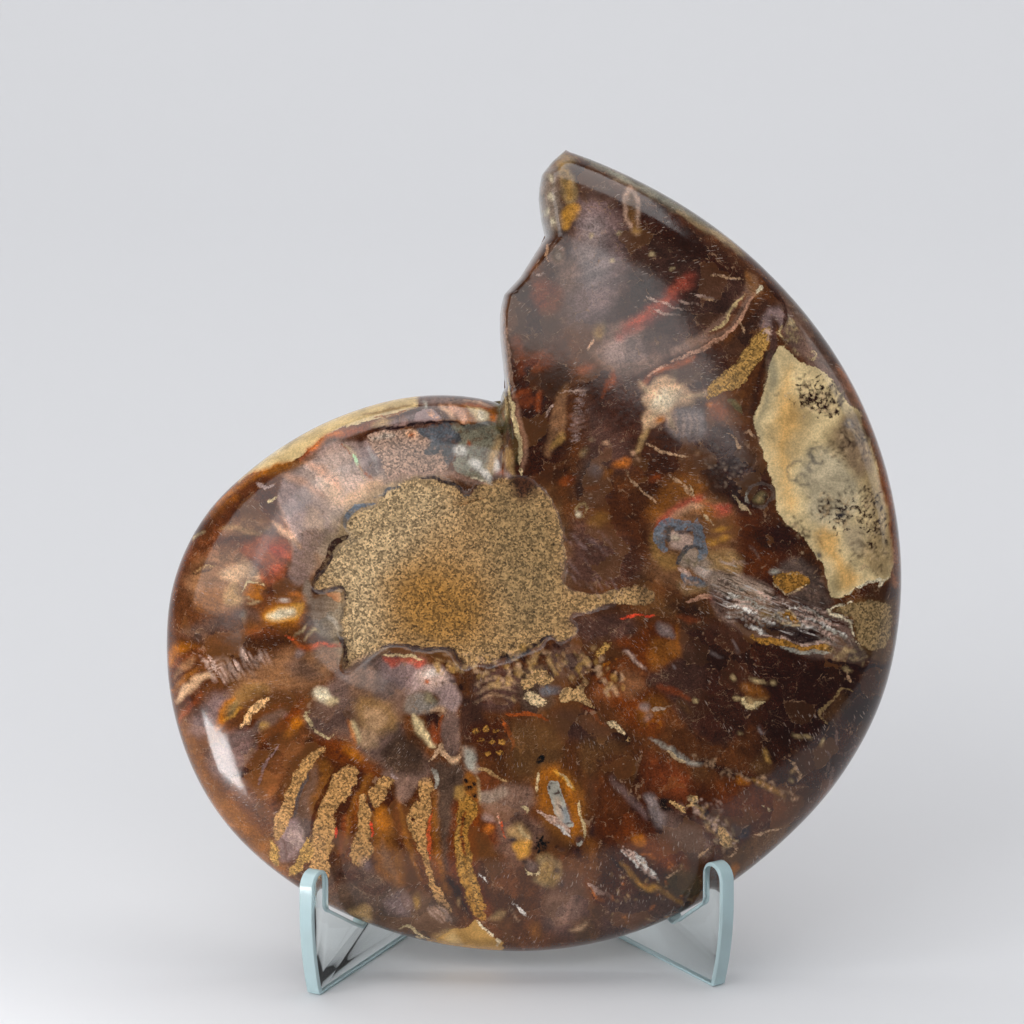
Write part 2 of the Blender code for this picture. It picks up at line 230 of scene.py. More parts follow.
# %% [markdown]
# ## Shapes drawn on the sheet
# Marks are drawn as they are seen from the front at arm's length, so a corner that stands out of the
# sheet is read a little farther from the middle. An outline is given by a few points, and a smooth
# curve runs through them.

# %% Outlines and distances
def seen_from_front(places):
    spread = VIEW_DISTANCE / (VIEW_DISTANCE - places[:, 2:])
    return np.array(FACE_MIDDLE) + (places[:, :2] - FACE_MIDDLE) * spread


def points_of(text):
    return np.array([[float(number) for number in pair.split(",")] for pair in text.split()])


def rounded_line(points, closed):
    """A smooth curve through points, four pieces to each stretch."""
    if closed:
        points = np.concatenate([points[-1:], points, points[:2]])
    else:
        points = np.concatenate([2 * points[:1] - points[1:2], points, 2 * points[-1:] - points[-2:-1]])
    before, start, end, after = points[:-3], points[1:-2], points[2:-1], points[3:]
    share = np.arange(4)[:, None, None] / 4.0
    curve = 0.5 * (2 * start + (end - before) * share
                   + (2 * before - 5 * start + 4 * end - after) * share**2
                   + (3 * start - before - 3 * end + after) * share**3)
    curve = curve.transpose(1, 0, 2).reshape(-1, 2)
    return curve if closed else np.concatenate([curve, points[-2:-1]])


def line_distance(at, line, width):
    """Distance to the side of a line with a width at each of its points."""
    nearest = np.full(len(at), np.inf)
    for start, end, near, far in zip(line[:-1], line[1:], width[:-1], width[1:]):
        run = end - start
        share = np.clip(((at - start) @ run) / max(run @ run, 1e-9), 0.0, 1.0)
        gap = np.hypot(*(at - start - share[:, None] * run).T) - (near + (far - near) * share) / 2
        nearest = np.minimum(nearest, gap)
    return nearest


def inside(at, outline):
    within = np.zeros(len(at), bool)
    for (x0, y0), (x1, y1) in zip(outline, np.roll(outline, -1, axis=0)):
        if y0 != y1:
            crosses = (y0 > at[:, 1]) != (y1 > at[:, 1])
            within ^= crosses & (at[:, 0] < (x1 - x0) * (at[:, 1] - y0) / (y1 - y0) + x0)
    return within


def area_distance(at, outline):
    """Distance to a closed outline, less than 0 within it."""
    closed = np.concatenate([outline, outline[:1]])
    gap = line_distance(at, closed, np.zeros(len(closed)))
    return np.where(inside(at, outline), -gap, gap)


# %% [markdown]
# ## Heights, and the sand in the umbilicus
# The umbilicus is full of raw sand that lies a little under the polish, within a ragged outline.
# The corners of the sawn edge stay where they are, and the edge itself is broken by a fine bevel, as
# a lapped edge is.

# %% Set the heights and bevel the sawn edge
UMBILICUS = (
    "-9.5,16 -8,17.2 -5,17.6 -2,17.6 0,16.8 1.7,15.8 2.6,14.8 4.4,15.4 6,17 7.6,17.2 9.2,17.6"
    " 10.5,18 13,18 15,17.3 16.2,16 17.2,15.4 18.5,13.5 19.5,11.5 20.3,9 20.3,6.5 20.9,4 21,1.5"
    " 20.6,-0.5 21,-2.2 23.5,-3.2 26,-3.6 29,-3.2 33,-2.2 36.5,-2.6 37.4,-4.4 35,-5.6 31,-5.4"
    " 27.5,-5.8 25,-6.6 23,-7 22,-8 23.2,-9.3 22.5,-11 21,-12 20,-12.2 19,-11 17.5,-11.5 16.5,-13"
    " 14,-14 12.5,-14.5 11,-15.3 9,-15.8 7,-16.4 5,-16 3,-16.8 1.5,-16 0.3,-14 -1.3,-13.2 -4,-13.6"
    " -7,-13.2 -9,-12.5 -11,-12.5 -12.6,-13.2 -14.5,-14.5 -16.5,-16 -18.5,-17.5 -19.5,-17 -19,-14"
    " -19,-11.5 -20,-10.5 -19.7,-8 -19.5,-6 -19.2,-4 -19.5,-2.5 -21.5,-2.2 -23.5,-2.8 -25,-1.3"
    " -24,0 -22.5,1.5 -21.5,3.5 -20,5 -18,5.5 -17.8,7 -18.8,9 -18.5,10 -17.5,11.5 -15,12 -13.3,13"
    " -13,14 -11.5,14.8 -10.5,15.6"
)
SAND_EDGE = 0.6
EDGE_BEVEL = 0.25


def heights(places):
    """Height of the polished side over the sawn face, sand included."""
    across, up = places[:, 0], places[:, 1]
    flank = np.maximum(*flanks(across, up))
    level = FILL_LEVEL + FILL_TILT * across
    direction = np.degrees(np.arctan2(up, across))
    beyond_fill = np.hypot(across, up) - along(FILL_RADII, direction)
    flank = np.minimum(flank, level + (flank - level) * smooth_step(beyond_fill / FILL_SHOULDER))
    on_level = np.stack([across, up, level], axis=1)
    to_sand = area_distance(seen_from_front(on_level), rounded_line(points_of(UMBILICUS), closed=True))
    fill = smooth_step(0.5 - to_sand / (2 * SAND_EDGE)) * (beyond_fill < FILL_SHOULDER)
    return flank * (1.0 - fill) + np.minimum(flank, level - FILL_RECESS) * fill


def bevel_sawn_edge(skin):
    bpy.ops.object.mode_set(mode="EDIT")
    bpy.ops.mesh.select_mode(type="EDGE")
    bpy.ops.mesh.select_all(action="DESELECT")
    sheet = bmesh.from_edit_mesh(skin.data)
    back = Vector((0.0, cos(LEAN), -sin(LEAN)))
    for edge in sheet.edges:
        sawn = [face.normal.dot(back) > 0.9999 for face in edge.link_faces]
        edge.select_set(len(sawn) == 2 and sawn[0] != sawn[1])
    bmesh.update_edit_mesh(skin.data)
    bpy.ops.mesh.bevel(offset=EDGE_BEVEL * MM, segments=2, clamp_overlap=True)
    bpy.ops.mesh.select_all(action="SELECT")
    bpy.ops.mesh.quads_convert_to_tris(quad_method="BEAUTY", ngon_method="BEAUTY")
    bpy.ops.object.mode_set(mode="OBJECT")


places = coordinates(skin)
above = places[:, 2] > SAWN_LIMIT
places[above, 2] = np.maximum(heights(places[above]), SAWN_LIMIT)
set_coordinates(skin, places)
bevel_sawn_edge(skin)
places = coordinates(skin)
print("corners:", len(places), "faces:", len(skin.data.polygons), "highest", places[:, 2].max().round(2))

# %% [markdown]
# ## A natural warp
# A gentle warp from noise keeps drawn edges from looking ruled.

# %% Noise on the skin
def noise_at(places, size, seed):
    """Smooth noise between -1 and 1 at many places, with features about size millimetres wide."""
    shift = Vector((seed * 17.3, seed * 5.1, seed * 9.7))
    return np.array([noise.noise(Vector(place) / size + shift) for place in places])


def warped(places, size, reach, seed):
    """Places moved about by noise."""
    moves = [noise_at(places, size, seed + k) * reach for k in range(2)]
    return np.stack(moves, axis=1)


seen = seen_from_front(places)
drawn_at = seen + warped(places, 4.0, 0.6, 1) + warped(places, 1.5, 0.35, 5)
grit = noise_at(places, 1.1, 11)
print("seen from", seen.min(0).round(1), "to", seen.max(0).round(1))

# %% [markdown]
# ## Drawing with soft and crisp shapes
# The stone is drawn in layers. The ground layer is mixed like wet paint, each shape with its own
# softness. A crisp layer keeps for each corner the distance to the nearest edge of its shapes, so
# that the shader can cut a sharp edge between corners.

# %% Colours of the stone
COLOURS = {
    "black brown": "28150c", "slate brown": "402b24", "dark brown": "452512", "brown": "5c3620",
    "red brown": "6b3a22", "warm brown": "8a5230", "tan brown": "8f6546", "amber brown": "8a5424",
    "rust brown": "8d4526", "amber": "a8621f", "orange": "c8702c", "gold": "d99a3c", "ochre": "a98045",
    "tan": "b58f5e", "light tan": "c19a76", "sand": "a98559", "rib sand": "a77c4c",
    "pale sand": "c4a880", "cream": "d2b98a",
    "pale rim": "c3a878", "ivory": "dfcfae", "rust": "9a4a22", "red": "a63a22", "vermilion": "c0512e",
    "salmon": "cf9a7c", "peach": "d0a07c", "warm mauve": "bfa08c", "mauve": "8d7470",
    "pale mauve": "a88e86", "rosy sand": "a0806c", "fog": "8f807c", "grey": "7d7268",
    "grey brown": "5c4c44", "pale grey": "a09a8c", "blue grey": "6a7078", "slate": "4a4848",
    "olive": "6f6342", "pale shell": "8f8072", "khaki": "8f7550",
    "umber sand": "96692f", "dark olive": "463c26", "white": "e6ddd2", "mint": "b9d8a8",
    "mauve brown": "6e564c", "olive grey": "7b7562", "peach band": "b08a76", "pink white": "c9a896",
    "umber glass": "8f6343", "dark amber": "6b3508", "peach sand": "c89a68", "rosy mauve": "8a6a5a",
    "grey umber": "584438", "dark umber": "4a3628", "tan mauve": "a8907c", "scarlet": "c8442c",
    "crimson": "b0503e", "dark mauve": "46302a", "plum": "563d36", "deep brown": "38200f",
    "walnut": "5e4128", "black": "1a1614", "ink": "2c2c34",
}
LAYERS = ("inlay", "sand", "vein")
FAR = 3.0
VEIL = 0.009
LIFT = 1.06
GRIT_SHARE = 0.3
CRISP_BELOW = 0.31
CRISP_STRENGTH = 0.74
CRISP_WIDENING = 0.1
TAPER_START = 0.12


def linear(code):
    """A colour code as light values between 0 and 1."""
    shares = np.array([int(code[k:k + 2], 16) for k in (0, 2, 4)]) / 255.0
    return np.where(shares > 0.04045, ((shares + 0.055) / 1.055) ** 2.4, shares / 12.92)


def stone_colour(name):
    """A named colour without the pale veil that a polished face always mirrors."""
    return np.clip(linear(COLOURS[name]) * LIFT - VEIL, 0.002, 1.0)


class Sheet:
    """The drawing: a ground colour for each corner, and layers of crisp shapes."""

    def __init__(self, at, ground):
        self.at = at
        self.ground = np.tile(stone_colour(ground), (len(at), 1))
        self.colour = {layer: np.zeros((len(at), 3)) for layer in LAYERS}
        self.edge = {layer: np.full(len(at), FAR) for layer in LAYERS}
        self.count = 0

    def lay(self, distance, near, colour, soft, strength):
        """Lays a shape on the corners named by near. soft is a width, or the name of a crisp layer."""
        self.count += 1
        tint = stone_colour(colour)
        if soft in LAYERS:
            tint = self.ground[near] + (tint - self.ground[near]) * strength
            picked = np.flatnonzero(near)
            over = (distance < 0.0) | (distance < self.edge[soft][near])
            self.colour[soft][picked[over]] = tint[over]
            self.edge[soft][picked] = np.minimum(self.edge[soft][near], distance)
            return
        broken = distance + GRIT_SHARE * soft * grit[near]
        share = smooth_step(0.5 - broken / (2 * soft)) * strength
        for colour in (self.ground, *self.colour.values()):
            colour[near] += (tint - colour[near]) * share[:, None]

    def near(self, line, reach):
        low, high = line.min(0) - reach, line.max(0) + reach
        return ((self.at > low) & (self.at < high)).all(axis=1)

    def area(self, colour, soft, text, strength=1.0):
        """A region with a rounded outline through the points."""
        outline = rounded_line(points_of(text), closed=True)
        near = self.near(outline, FAR + 1.0)
        self.lay(area_distance(self.at[near], outline), near, colour, soft, strength)

    def stroke(self, colour, soft, width, text, strength=1.0):
        """A band along a curve through the points, narrowing to its ends."""
        line = rounded_line(points_of(text), closed=False)
        near = self.near(line, FAR + width)
        taper = np.sin(np.linspace(TAPER_START, pi - TAPER_START, len(line))) ** 0.5
        if soft not in LAYERS and soft < CRISP_BELOW and strength > CRISP_STRENGTH:
            soft, width = "vein", width + CRISP_WIDENING
        self.lay(line_distance(self.at[near], line, width * taper), near, colour, soft, strength)

    def spot(self, colour, soft, text, length, width, turn=0.0, strength=1.0):
        """An oval at a place, its length turned anticlockwise from across."""
        middle = points_of(text)[0]
        reach = max(length, width)
        near = self.near(middle[None, :], reach + FAR)
        c, s = cos(radians(turn)), sin(radians(turn))
        local = (self.at[near] - middle) @ np.array([[c, -s], [s, c]])
        share = np.hypot(local[:, 0] / (length / 2), local[:, 1] / (width / 2))
        self.lay((share - 1.0) * min(length, width) / 2, near, colour, soft, strength)


art = Sheet(drawn_at, "brown")
print(len(COLOURS), "colours over", len(drawn_at), "corners")

# %% [markdown]
# ## Drawing the stone
# A polished ammonite shows hundreds of marks: shell, calcite, mud and rust. They could be one
# painted picture, but then each would need its own paint. Here each row of a table lays one shape.
# It says the kind of shape, its colour, its softness or crisp layer with its sizes and strength, and
# its places in millimetres, with a bar between like shapes. Later shapes lie over earlier ones.

# %% Rows of shapes
def draw(table):
    """Draws the rows: an area, a band with its width, or a spot with its length, width and turn."""
    for row in table.strip().replace("\n  ", " ").splitlines():
        kind, colour, numbers, shapes = (part.strip() for part in row.split(";"))
        soft, *sizes = numbers.split()
        soft = soft if soft in LAYERS else float(soft)
        sizes = [float(size) for size in sizes]
        for text in shapes.split("|"):
            if kind == "area":
                art.area(colour, soft, text, *sizes)
            elif kind == "band":
                art.stroke(colour, soft, sizes[0], text, *sizes[1:])
            else:
                art.spot(colour, soft, text, *sizes)
    print(art.count, "shapes drawn")


def path(*line):
    """The text of a line through places, or of one place."""
    return " ".join(f"{across:.2f},{up:.2f}" for across, up in line)


# %% [markdown]
# ## Left side of the whorl
# The left flank is warm brown shell in broad arcs that follow the coil. Broad soft areas come first,
# as an underpainting, and narrower arcs over them, because small marks should never be covered.

# %% Draw: left side of the whorl
draw("""
area; red brown; 3 0.8; -52,2 -46,12 -38,18 -31,18 -29,8 -30,0 -34,-8 -44,-12 -52,-10
area; dark brown; 2 0.9; -43,9.5 -39,13 -34,16.5 -31.5,15.5 -31,12 -35,10.5 -39,9.5
area; brown; 1.5 0.6; -47,9 -43,14 -40,15.5 -41,12 -44,9
band; amber; 1 1.6 0.6; -45,10.5 -42,13 -39,14.2
band; dark brown; 0.6 1.2 0.9; -46,5.2 -42,5.8 -38.5,7 -34.5,7.4
area; tan brown; 1.2 0.8; -42,8 -39,9.8 -35.5,10.2 -33,9.4 -36,8 -39,7.4
band; tan; 0.4 0.5 0.6; -42.5,8.3 -40,8.8 -37.5,8.2 -35.5,7.6 -33,8.8
area; tan brown; 1.8 0.9; -45,3.4 -41,4.8 -38.6,4 -36.8,2 -35,0 -34,-2 -37,-3.4 -37.6,-6 -42,-7.5 -47,-5.5
  -48.5,-1
area; brown; 1.2 0.8; -50,-2 -47.5,-3.6 -44,-6.4 -40.5,-7.6 -45,-9.6 -50,-8
area; amber brown; 1 0.7; -46.5,-3.2 -42.5,-2.6 -40.8,-5 -43.5,-7 -46.5,-6
area; light tan; 1 0.95; -42,0.4 -39.4,1.6 -37.2,2.2 -35.4,1 -34.8,-0.4 -37.5,-1 -40,-1.2
area; tan; 0.8 0.6; -40.5,-1.4 -38.6,-2.2 -37.6,-4.4 -38.6,-5.6 -41,-5.2
area; rust brown; 0.5; -38.4,4.2 -37,6.2 -34,7.2 -31.4,6.8 -29.4,5.4 -28.3,3.6 -29.6,1.6 -30.2,-0.6
  -32,-1.6 -34.2,-0.9 -35.2,1 -36.8,3
spot; red; 0.8 3 1.8 -20; -32,4.4
spot; vermilion; 0.4 1.5 0.8 -25 0.7; -31.9,4.6
spot; vermilion; 0.4 2.2 1.2 -20 0.6; -30,3.4
spot; vermilion; 0.4 3 1.6 15 0.6; -32,1
spot; rust; 0.4 2.6 1.4 -30; -34.6,3.4
band; slate brown; 0.4 0.6 0.7; -35.8,2.6 -34,0.6 -32.4,-1.8
band; salmon; 0.35 0.7; -31,8.8 -30.2,7.4 -29.2,6.4
band; salmon; 0.35 0.8; -28.8,7.8 -27.8,6.6 -27.2,5.4
band; peach; 0.5 1.2 0.7; -32,9.8 -30.6,8 -29,6.6 -27.4,5.2
band; dark brown; 0.5 0.8 0.9; -47.5,0.6 -45,2.1 -42,2
band; tan; 0.3 0.35 0.8; -46.8,0.7 -44.8,1.7 -42.6,1.8
band; black brown; 0.3 0.4 0.8; -47.8,0 -45,0.8 -43,1.5
spot; cream; 0.3 1 0.5 30; -46.6,6.8
band; cream; 0.3 0.3 0.7; -46.2,7.2 -45,8
band; pale mauve; 0.3 0.5 0.9; -35.4,16.6 -34,16.1 -32.8,16.4
band; cream; 0.25 0.35 0.9; -33.2,13.1 -32.4,14 -31.6,14.8
""")

# %% [markdown]
# ## Pale lit rim of the small whorl
# Along the upper left the smallest whorl's edge curves back towards the lamps. Its pale rim and the ivory
# band on it are painted light on that curve, beside the shell's amber, rust and brown bands. A ring mesh
# could stand for the rim, but it has no height of its own, so it is drawn as broken pale bands.

# %% Draw: pale lit rim of the small whorl
# The pale rim area and the ivory band below are painted light where the rim curves towards the lamps.
draw("""
area; pale rim; inlay; -44,12.6 -41,15.6 -38,17.6 -35,19 -32,20 -29,20.8 -27.2,22 -25.2,23.6 -23,25.2
  -20,26.8 -16,28 -13,28.6 -10,29.4 -6,31 -6,35 -20,32 -34,26 -44,16
band; ivory; 1 1.6 0.8; -40,17.6 -35,21.4 -30,24.4
band; amber; 0.5 1.4 0.85; -44,12.2 -40,15.6 -36,18 -32,19.7 -28.5,20.6
area; amber brown; 0.8 0.9; -33.4,19.2 -30.5,20.4 -27.4,20.7 -26.5,19.8 -30,18.6 -33,18
band; rust; 0.5 1.2 0.9; -27.3,21.3 -25.2,23.2 -22.8,24.9 -20,25.9 -16,26.9 -12.6,27.8
band; orange; 0.4 0.7 0.8; -25.4,23 -24,24 -22.6,25 -20,26.2
band; dark brown; 0.4 0.8 0.9; -23.4,24 -20,24.9 -16.6,25.2 -13,26.4 -9.6,27
band; brown; 0.5 1 0.7; -16,27 -12.5,27 -9,27.8
spot; tan; 0.4 3.4 1.2 15; -12.4,27.8
""")

# %% [markdown]
# ## Translucent lenses beside the sand, with painted glow and reflection
# Beside the sand the shell is worn so thin that light enters it, and lenses of clear calcite look
# pink and amber. True glass would need light inside the stone, so soft ovals with paler hearts paint
# that glow on the polished face. The broad pale mauve areas are partly a painted reflection in the
# polish.

# %% Draw: translucent lenses beside the sand
# The light tan hearts are painted glow, and the pale mauve, warm mauve and mauve areas are the lenses'
# colour with a painted reflection in them.
draw("""
area; pale mauve; 0.35 0.72; -31.7,14.8 -30.2,17.4 -27.6,19 -25.6,20.9 -23.8,22.8 -21.4,24.3 -17.8,24.6
  -14.4,24.4 -12,22 -11.4,19 -12,17.4 -14.4,17 -16.8,15.4 -18.4,13 -20,10.6 -20,8.4 -21.6,5.4 -23.8,2
  -25.8,-0.6 -28,-1.8 -29.2,-0.2 -28.8,3.6 -29,6.6 -29.8,10 -31.2,12.6
area; warm mauve; 2 0.6; -27,19 -22,23 -18,24 -16,20 -16,16 -19,12 -22,10 -25,14
area; light tan; 1.5 0.6; -23,18.6 -20.4,18 -19.4,14 -21.6,12.6 -23.4,15
area; mauve; 1.5 0.5; -31,15 -28.4,17 -26,15 -25.4,12 -28,10 -30.4,12.4
area; light tan; 1.2 0.5; -26,12.4 -23.6,11.6 -23.4,8.6 -26,8
band; salmon; 0.6 1.3 0.9; -30.2,17.9 -27.4,17.4 -25.2,15.8 -23.2,14.2
band; salmon; 0.6 1.5 0.85; -26.4,20.4 -23.6,19.4 -21.6,17.8 -20,16
band; peach; 0.5 1 0.8; -29.4,7.6 -28.2,6 -27,4.6
band; rust; 0.6 0.8 0.5; -24.8,3.6 -24.4,1.4 -26,-0.8
band; salmon; 0.4 0.5 0.5; -31.4,13 -29.8,10 -29,7 -28.9,4
band; peach; 0.4 0.7 0.8; -18.8,13.4 -18.2,14 -17.4,15.2
area; mauve; 0.8 0.55; -16,23.4 -13.6,22.6 -12.2,19.6 -13.2,18 -15.4,20 -17,22.6
band; white; 0.4 0.5 0.35; -15.4,23.6 -13.8,21.4 -12.8,19
band; rust brown; 0.3 0.45 0.85; -20,24.2 -18,22 -16.2,19.8 -14.6,18 -12.8,16.8
band; cream; 0.3 0.4 0.7; -19.4,24 -17.8,22.4 -16.4,19.8 -15.6,17.4
band; mint; vein 0.75; -17.9,22.1 -17.2,21.2 -16.5,20.2
area; peach; 0.7 0.6; -20.6,13 -18.6,14.8 -17,16.6 -13.6,17.6 -11.6,17 -14,15.8 -16.6,14.2 -18.6,12.2
""")

# %% [markdown]
# ## Shell beside the sand, gold and amber at the left
# Layers of shell lie on each other here like torn paper, with gold and amber calcite in the gaps.
# Each torn edge could be a step in the mesh, but polish has made them level, so only colour changes.

# %% Draw: shell beside the sand, gold and amber at the left
draw("""
area; grey brown; 0.8 0.8; -26.4,-1 -25,-4 -20,-4.6 -19.6,-9 -21,-12 -24.6,-11 -26.4,-6
area; pale shell; 0.4; -26.3,-0.6 -25.4,-1.8 -25.1,-4.2 -22.6,-4 -20.6,-5.2 -19.8,-7 -19.9,-9.4 -21.4,-11
  -24,-10.6 -25,-8.4 -25.4,-5.6 -26.6,-4.6 -27,-2.4
area; grey; 1 0.6; -25,-5 -22,-4.6 -21.4,-7 -23.4,-9 -25,-7.6
band; white; 0.4 0.6 0.6; -22.4,-7.6 -21.4,-8.4 -20.8,-9.6
area; rust; inlay; -22.8,-3.3 -20.4,-3.5 -20.2,-4.6 -21,-4.9
area; amber; 0.4; -37.7,-3.4 -36.6,-1.6 -34.9,-1.6 -33.6,-2.2 -34.6,-2.8 -34.4,-4.4 -36.2,-4.2
band; cream; 0.25 0.35 0.8; -37.9,-3.2 -36.8,-1.3 -35,-1.4 -33.4,-1.8
band; cream; 0.25 0.3 0.6; -37.5,-3.8 -36,-4.6 -35,-4.8 -37.4,-5.8
area; amber; 1.2 0.95; -34.6,-7.6 -32.4,-5.6 -29.4,-4.6 -27,-3.4 -26.6,-6.4 -28.6,-8.6 -31.6,-9
area; gold; 0.5; -34,-7.5 -32,-6.1 -29.6,-5.6 -27.2,-4.8 -26.9,-6.3 -28.6,-7.8 -31.4,-8.3
area; ivory; 0.5; -33.4,-7.4 -31.6,-6.5 -29,-6 -28.4,-6.8 -29.6,-7.7 -31.6,-7.9
band; orange; 0.4 0.7 0.9; -29.6,-3.6 -28.4,-3.2 -27,-3.6
spot; white; 0.3 1.4 0.4 5; -30.6,-4.9
area; amber brown; 1.5 0.8; -40,-10 -37,-8.8 -32,-9.6 -29,-11 -32,-12.6 -38,-12
area; dark brown; 1 0.7; -34,-3 -31,-3.6 -29.6,-2.4 -29.2,0 -30.4,-1 -32.4,-2
area; slate; 0.8 0.5; -39,-6.6 -36,-6.4 -34.4,-8 -37,-8.8 -39.6,-8.2
spot; pale grey; 0.5 0.8 1.6 0 0.5; -37.8,-8
""")

# %% [markdown]
# ## The sand in the umbilicus
# The middle of the coil was never polished. Its raw sand was left as it was found, in tones from
# grey to ochre. The same outline that lowers the surface also colours it, so both edges agree.

# %% Draw: the sand in the umbilicus
art.area("sand", "sand", UMBILICUS)
draw("""
area; pale sand; 4 0.8; -24,4 -14,16 -4,18 0,12 -8,4 -12,-4 -14,-14 -20,-14 -21,-4
area; umber sand; 4 0.85; -10,0 0,2 6,-2 6,-10 0,-13 -8,-11 -11,-5
area; khaki; 4 0.7; 6,14 14,16 19,10 20,0 18,-8 12,-10 8,-2 6,6
band; blue grey; vein 1.1; -19,8.4 -19.2,10 -18,11.4 -16.4,12.8 -13.8,13.3
band; slate brown; vein 1.3; -18.2,7 -20,6.2 -21.8,5 -22.6,2.8 -24.2,0.4 -25,-1.4
band; slate brown; vein 0.8; -25,-1.6 -24.6,-3.2 -22,-2.8 -19.6,-2.4 -19.2,-5
band; slate brown; vein 1; -20.6,-11.2 -19.4,-12.2 -19,-14.4 -19.2,-16.8
band; slate; vein 0.7; -9,15.8 -11.4,15.6 -12.2,14.6 -14.2,14.4
band; black brown; vein 0.6; -6,17.6 -3.6,18 -1.6,17.4 0.4,16.8 1.8,16 1.9,15
spot; slate; vein 1.6 0.7 15; 3.2,14.7
band; slate brown; vein 0.8; -13.4,-12.8 -10,-12.6 -7.4,-13.2 -4.4,-13.8 -1.4,-13.2 0.2,-13.8 1.6,-16
  3.4,-16.8
band; black brown; vein 0.9; 8,-16.2 9.6,-15.4 11.6,-15 13.6,-14 15.4,-13 17,-11.8 18.6,-11
spot; blue grey; vein 1.9 1.2; 10.8,-7.6
spot; slate; vein 1 0.7; 4.8,10.3
spot; slate; vein 1 0.6 20; -5.2,9
spot; slate; vein 1.2 0.8 10; -9.2,7.4
spot; black brown; vein 0.9 1.4 20; 9.6,9
""")

# %% [markdown]
# ## Cap and slab beside the step
# Above the sand a mauve slab and a pale cap meet in straight breaks, with a thread of dark mud
# between. Straight edges need crisp shapes, so the slab lies in the crisp vein layer.

# %% Draw: cap and slab beside the step
draw("""
area; mauve brown; 0.6; -6,31.6 -4.6,34 0,34 4,34 9,33 8.2,30.8 4,31.4 0,31 -4,30.6 -5.4,30.4
area; amber brown; 0.6 0.9; -2,30.8 3,31 8.6,31 9.4,28.4 5,28 0,27.8 -1,29
area; dark brown; 0.6 0.9; -9,29.8 -5.4,30.8 -1,31 0.6,29 -0.4,27.9 -5,28 -9,28
area; mauve; inlay; -5.6,30 -3.4,30.4 -1.6,28.2 -6,28.1
band; salmon; 0.25 0.3 0.9; -4.7,30.4 -3.6,29.4 -2.4,28.2 | -3.9,30.5 -2.6,29.2 -1.7,28.3
spot; pale grey; 0.3 0.7 1; -4.7,31.1
band; peach; 0.4 0.9 0.9; -1.6,30.9 -0.2,29.6 0.9,28.2
band; salmon; 0.4 1.4 0.9; 0,30.8 1.6,29.4 2.8,28.1
area; cream; 0.4; 2.2,31.1 4.2,30.6 6.4,30.2 7.3,29.4 7.2,28.4 5.4,28.1 4.4,28.9 3.4,29.7
area; ivory; 0.3; 5,29.8 6.8,29.8 7,28.6 5.6,28.4 4.8,29
spot; orange; 0.4 1.2 2; 8,29
band; rust; 0.4 0.9 0.8; 1.6,31 3.6,31 5.6,30.6 7.4,30.8
band; peach; 0.4 0.6 0.8; 2.6,32.2 5,31.8 7.6,31
band; brown; 0.3 0.5 0.6; -16,29.4 -12.6,29.7 -9.6,30.8 -7,31.4
band; amber brown; 0.3 0.6 0.8; -14,28.8 -10.6,29.4 -7.4,30.6
area; mauve; 0.5 0.8; -13,27 -9,28.8 -6,29.4 -5.4,28 -8.6,27.4 -12,26.6
spot; tan; 0.3 2.6 0.8 10; -12.4,27.3
area; rosy sand; sand; -15.4,24.8 -12,26.4 -8,26.9 -5.6,26.4 -3,25.4 -2,23.6 -0.8,21.4 -0.6,19.6 -2,18.9
  -5,18.8 -9,18.4 -11.6,17.6 -12.2,19.4 -13,21.6
area; slate; vein; -6.4,26.8 -4,27.3 0,27.4 2.6,27 2.4,25.4 1.4,23.6 0.6,22.6 0.2,21 -0.5,20.1 -1.2,20.4
  -1.8,21.4 -2.1,22.6 -3.6,22.4 -5,22.5 -4.6,23.4 -3.5,24.2 -3.4,25.2 -5.2,25.7
area; olive grey; vein; 0.4,27.4 5,27.8 8.2,28 9,26.4 9.6,24.8 9.2,23 8.6,21 8.1,18.8 7.6,16.8 5.6,17.6
  2,18.5 0.6,19.6 0.8,21.6 1.2,23.6 2.4,25.4
area; blue grey; 1.2 0.5; -6.4,26.6 -3,27.2 1,27.2 1,25 -1,23.8 -3.4,24.4 -4,25.8
band; slate; 0.5 1 0.7; 3,27.2 5.6,27.4 8,27.8
area; tan; 0.7 0.7; 6.6,20 7.4,22.8 8.8,25 9.4,24.4 8.8,21 8,18.6
spot; white; 0.5 2.6 1.5 15 0.8; 1.8,22.7
spot; dark olive; 0.25 0.6 0.5; 1.6,22.5
spot; white; 0.5 2.2 1.7 -30 0.8; 4.5,20.5
band; white; 0.4 1.3 0.8; 5.4,19.6 6.8,18.6 7.6,17
spot; rust; 0.25 0.9 0.8; 3.6,24.4
spot; peach; 0.3 1.8 1.5; -7.2,26
spot; rust; 0.25 0.7 0.7; -7.2,25.9
band; pale grey; 0.4 0.8 0.5; -14.4,24.7 -12.8,25 -11.2,25.6 -9.8,25.8
band; black brown; vein 0.5; -16,25.4 -12.4,26.7 -9,27.3 -6,27.9 -3,27.9 0,27.7 3,27.7
area; peach band; 0.5 0.75; -12.6,17 -9.6,18.6 -5,19.2 -1,19 3,18.2 6,17.6 7.4,16.6 4,17 0,17.8 -3,18.4
  -7,18 -10.6,16.8
band; ivory; 0.25 0.35 0.9; 3.6,18 6,17.5 7.6,16.3
""")

# %% [markdown]
# ## Comb of pale scratches and arcs at the far left
# Grinding across the ribs left a comb of pale, nearly parallel scratches. One by one they would be
# tedious, so a loop with a fixed seed draws them, each a little different and the same in each run.

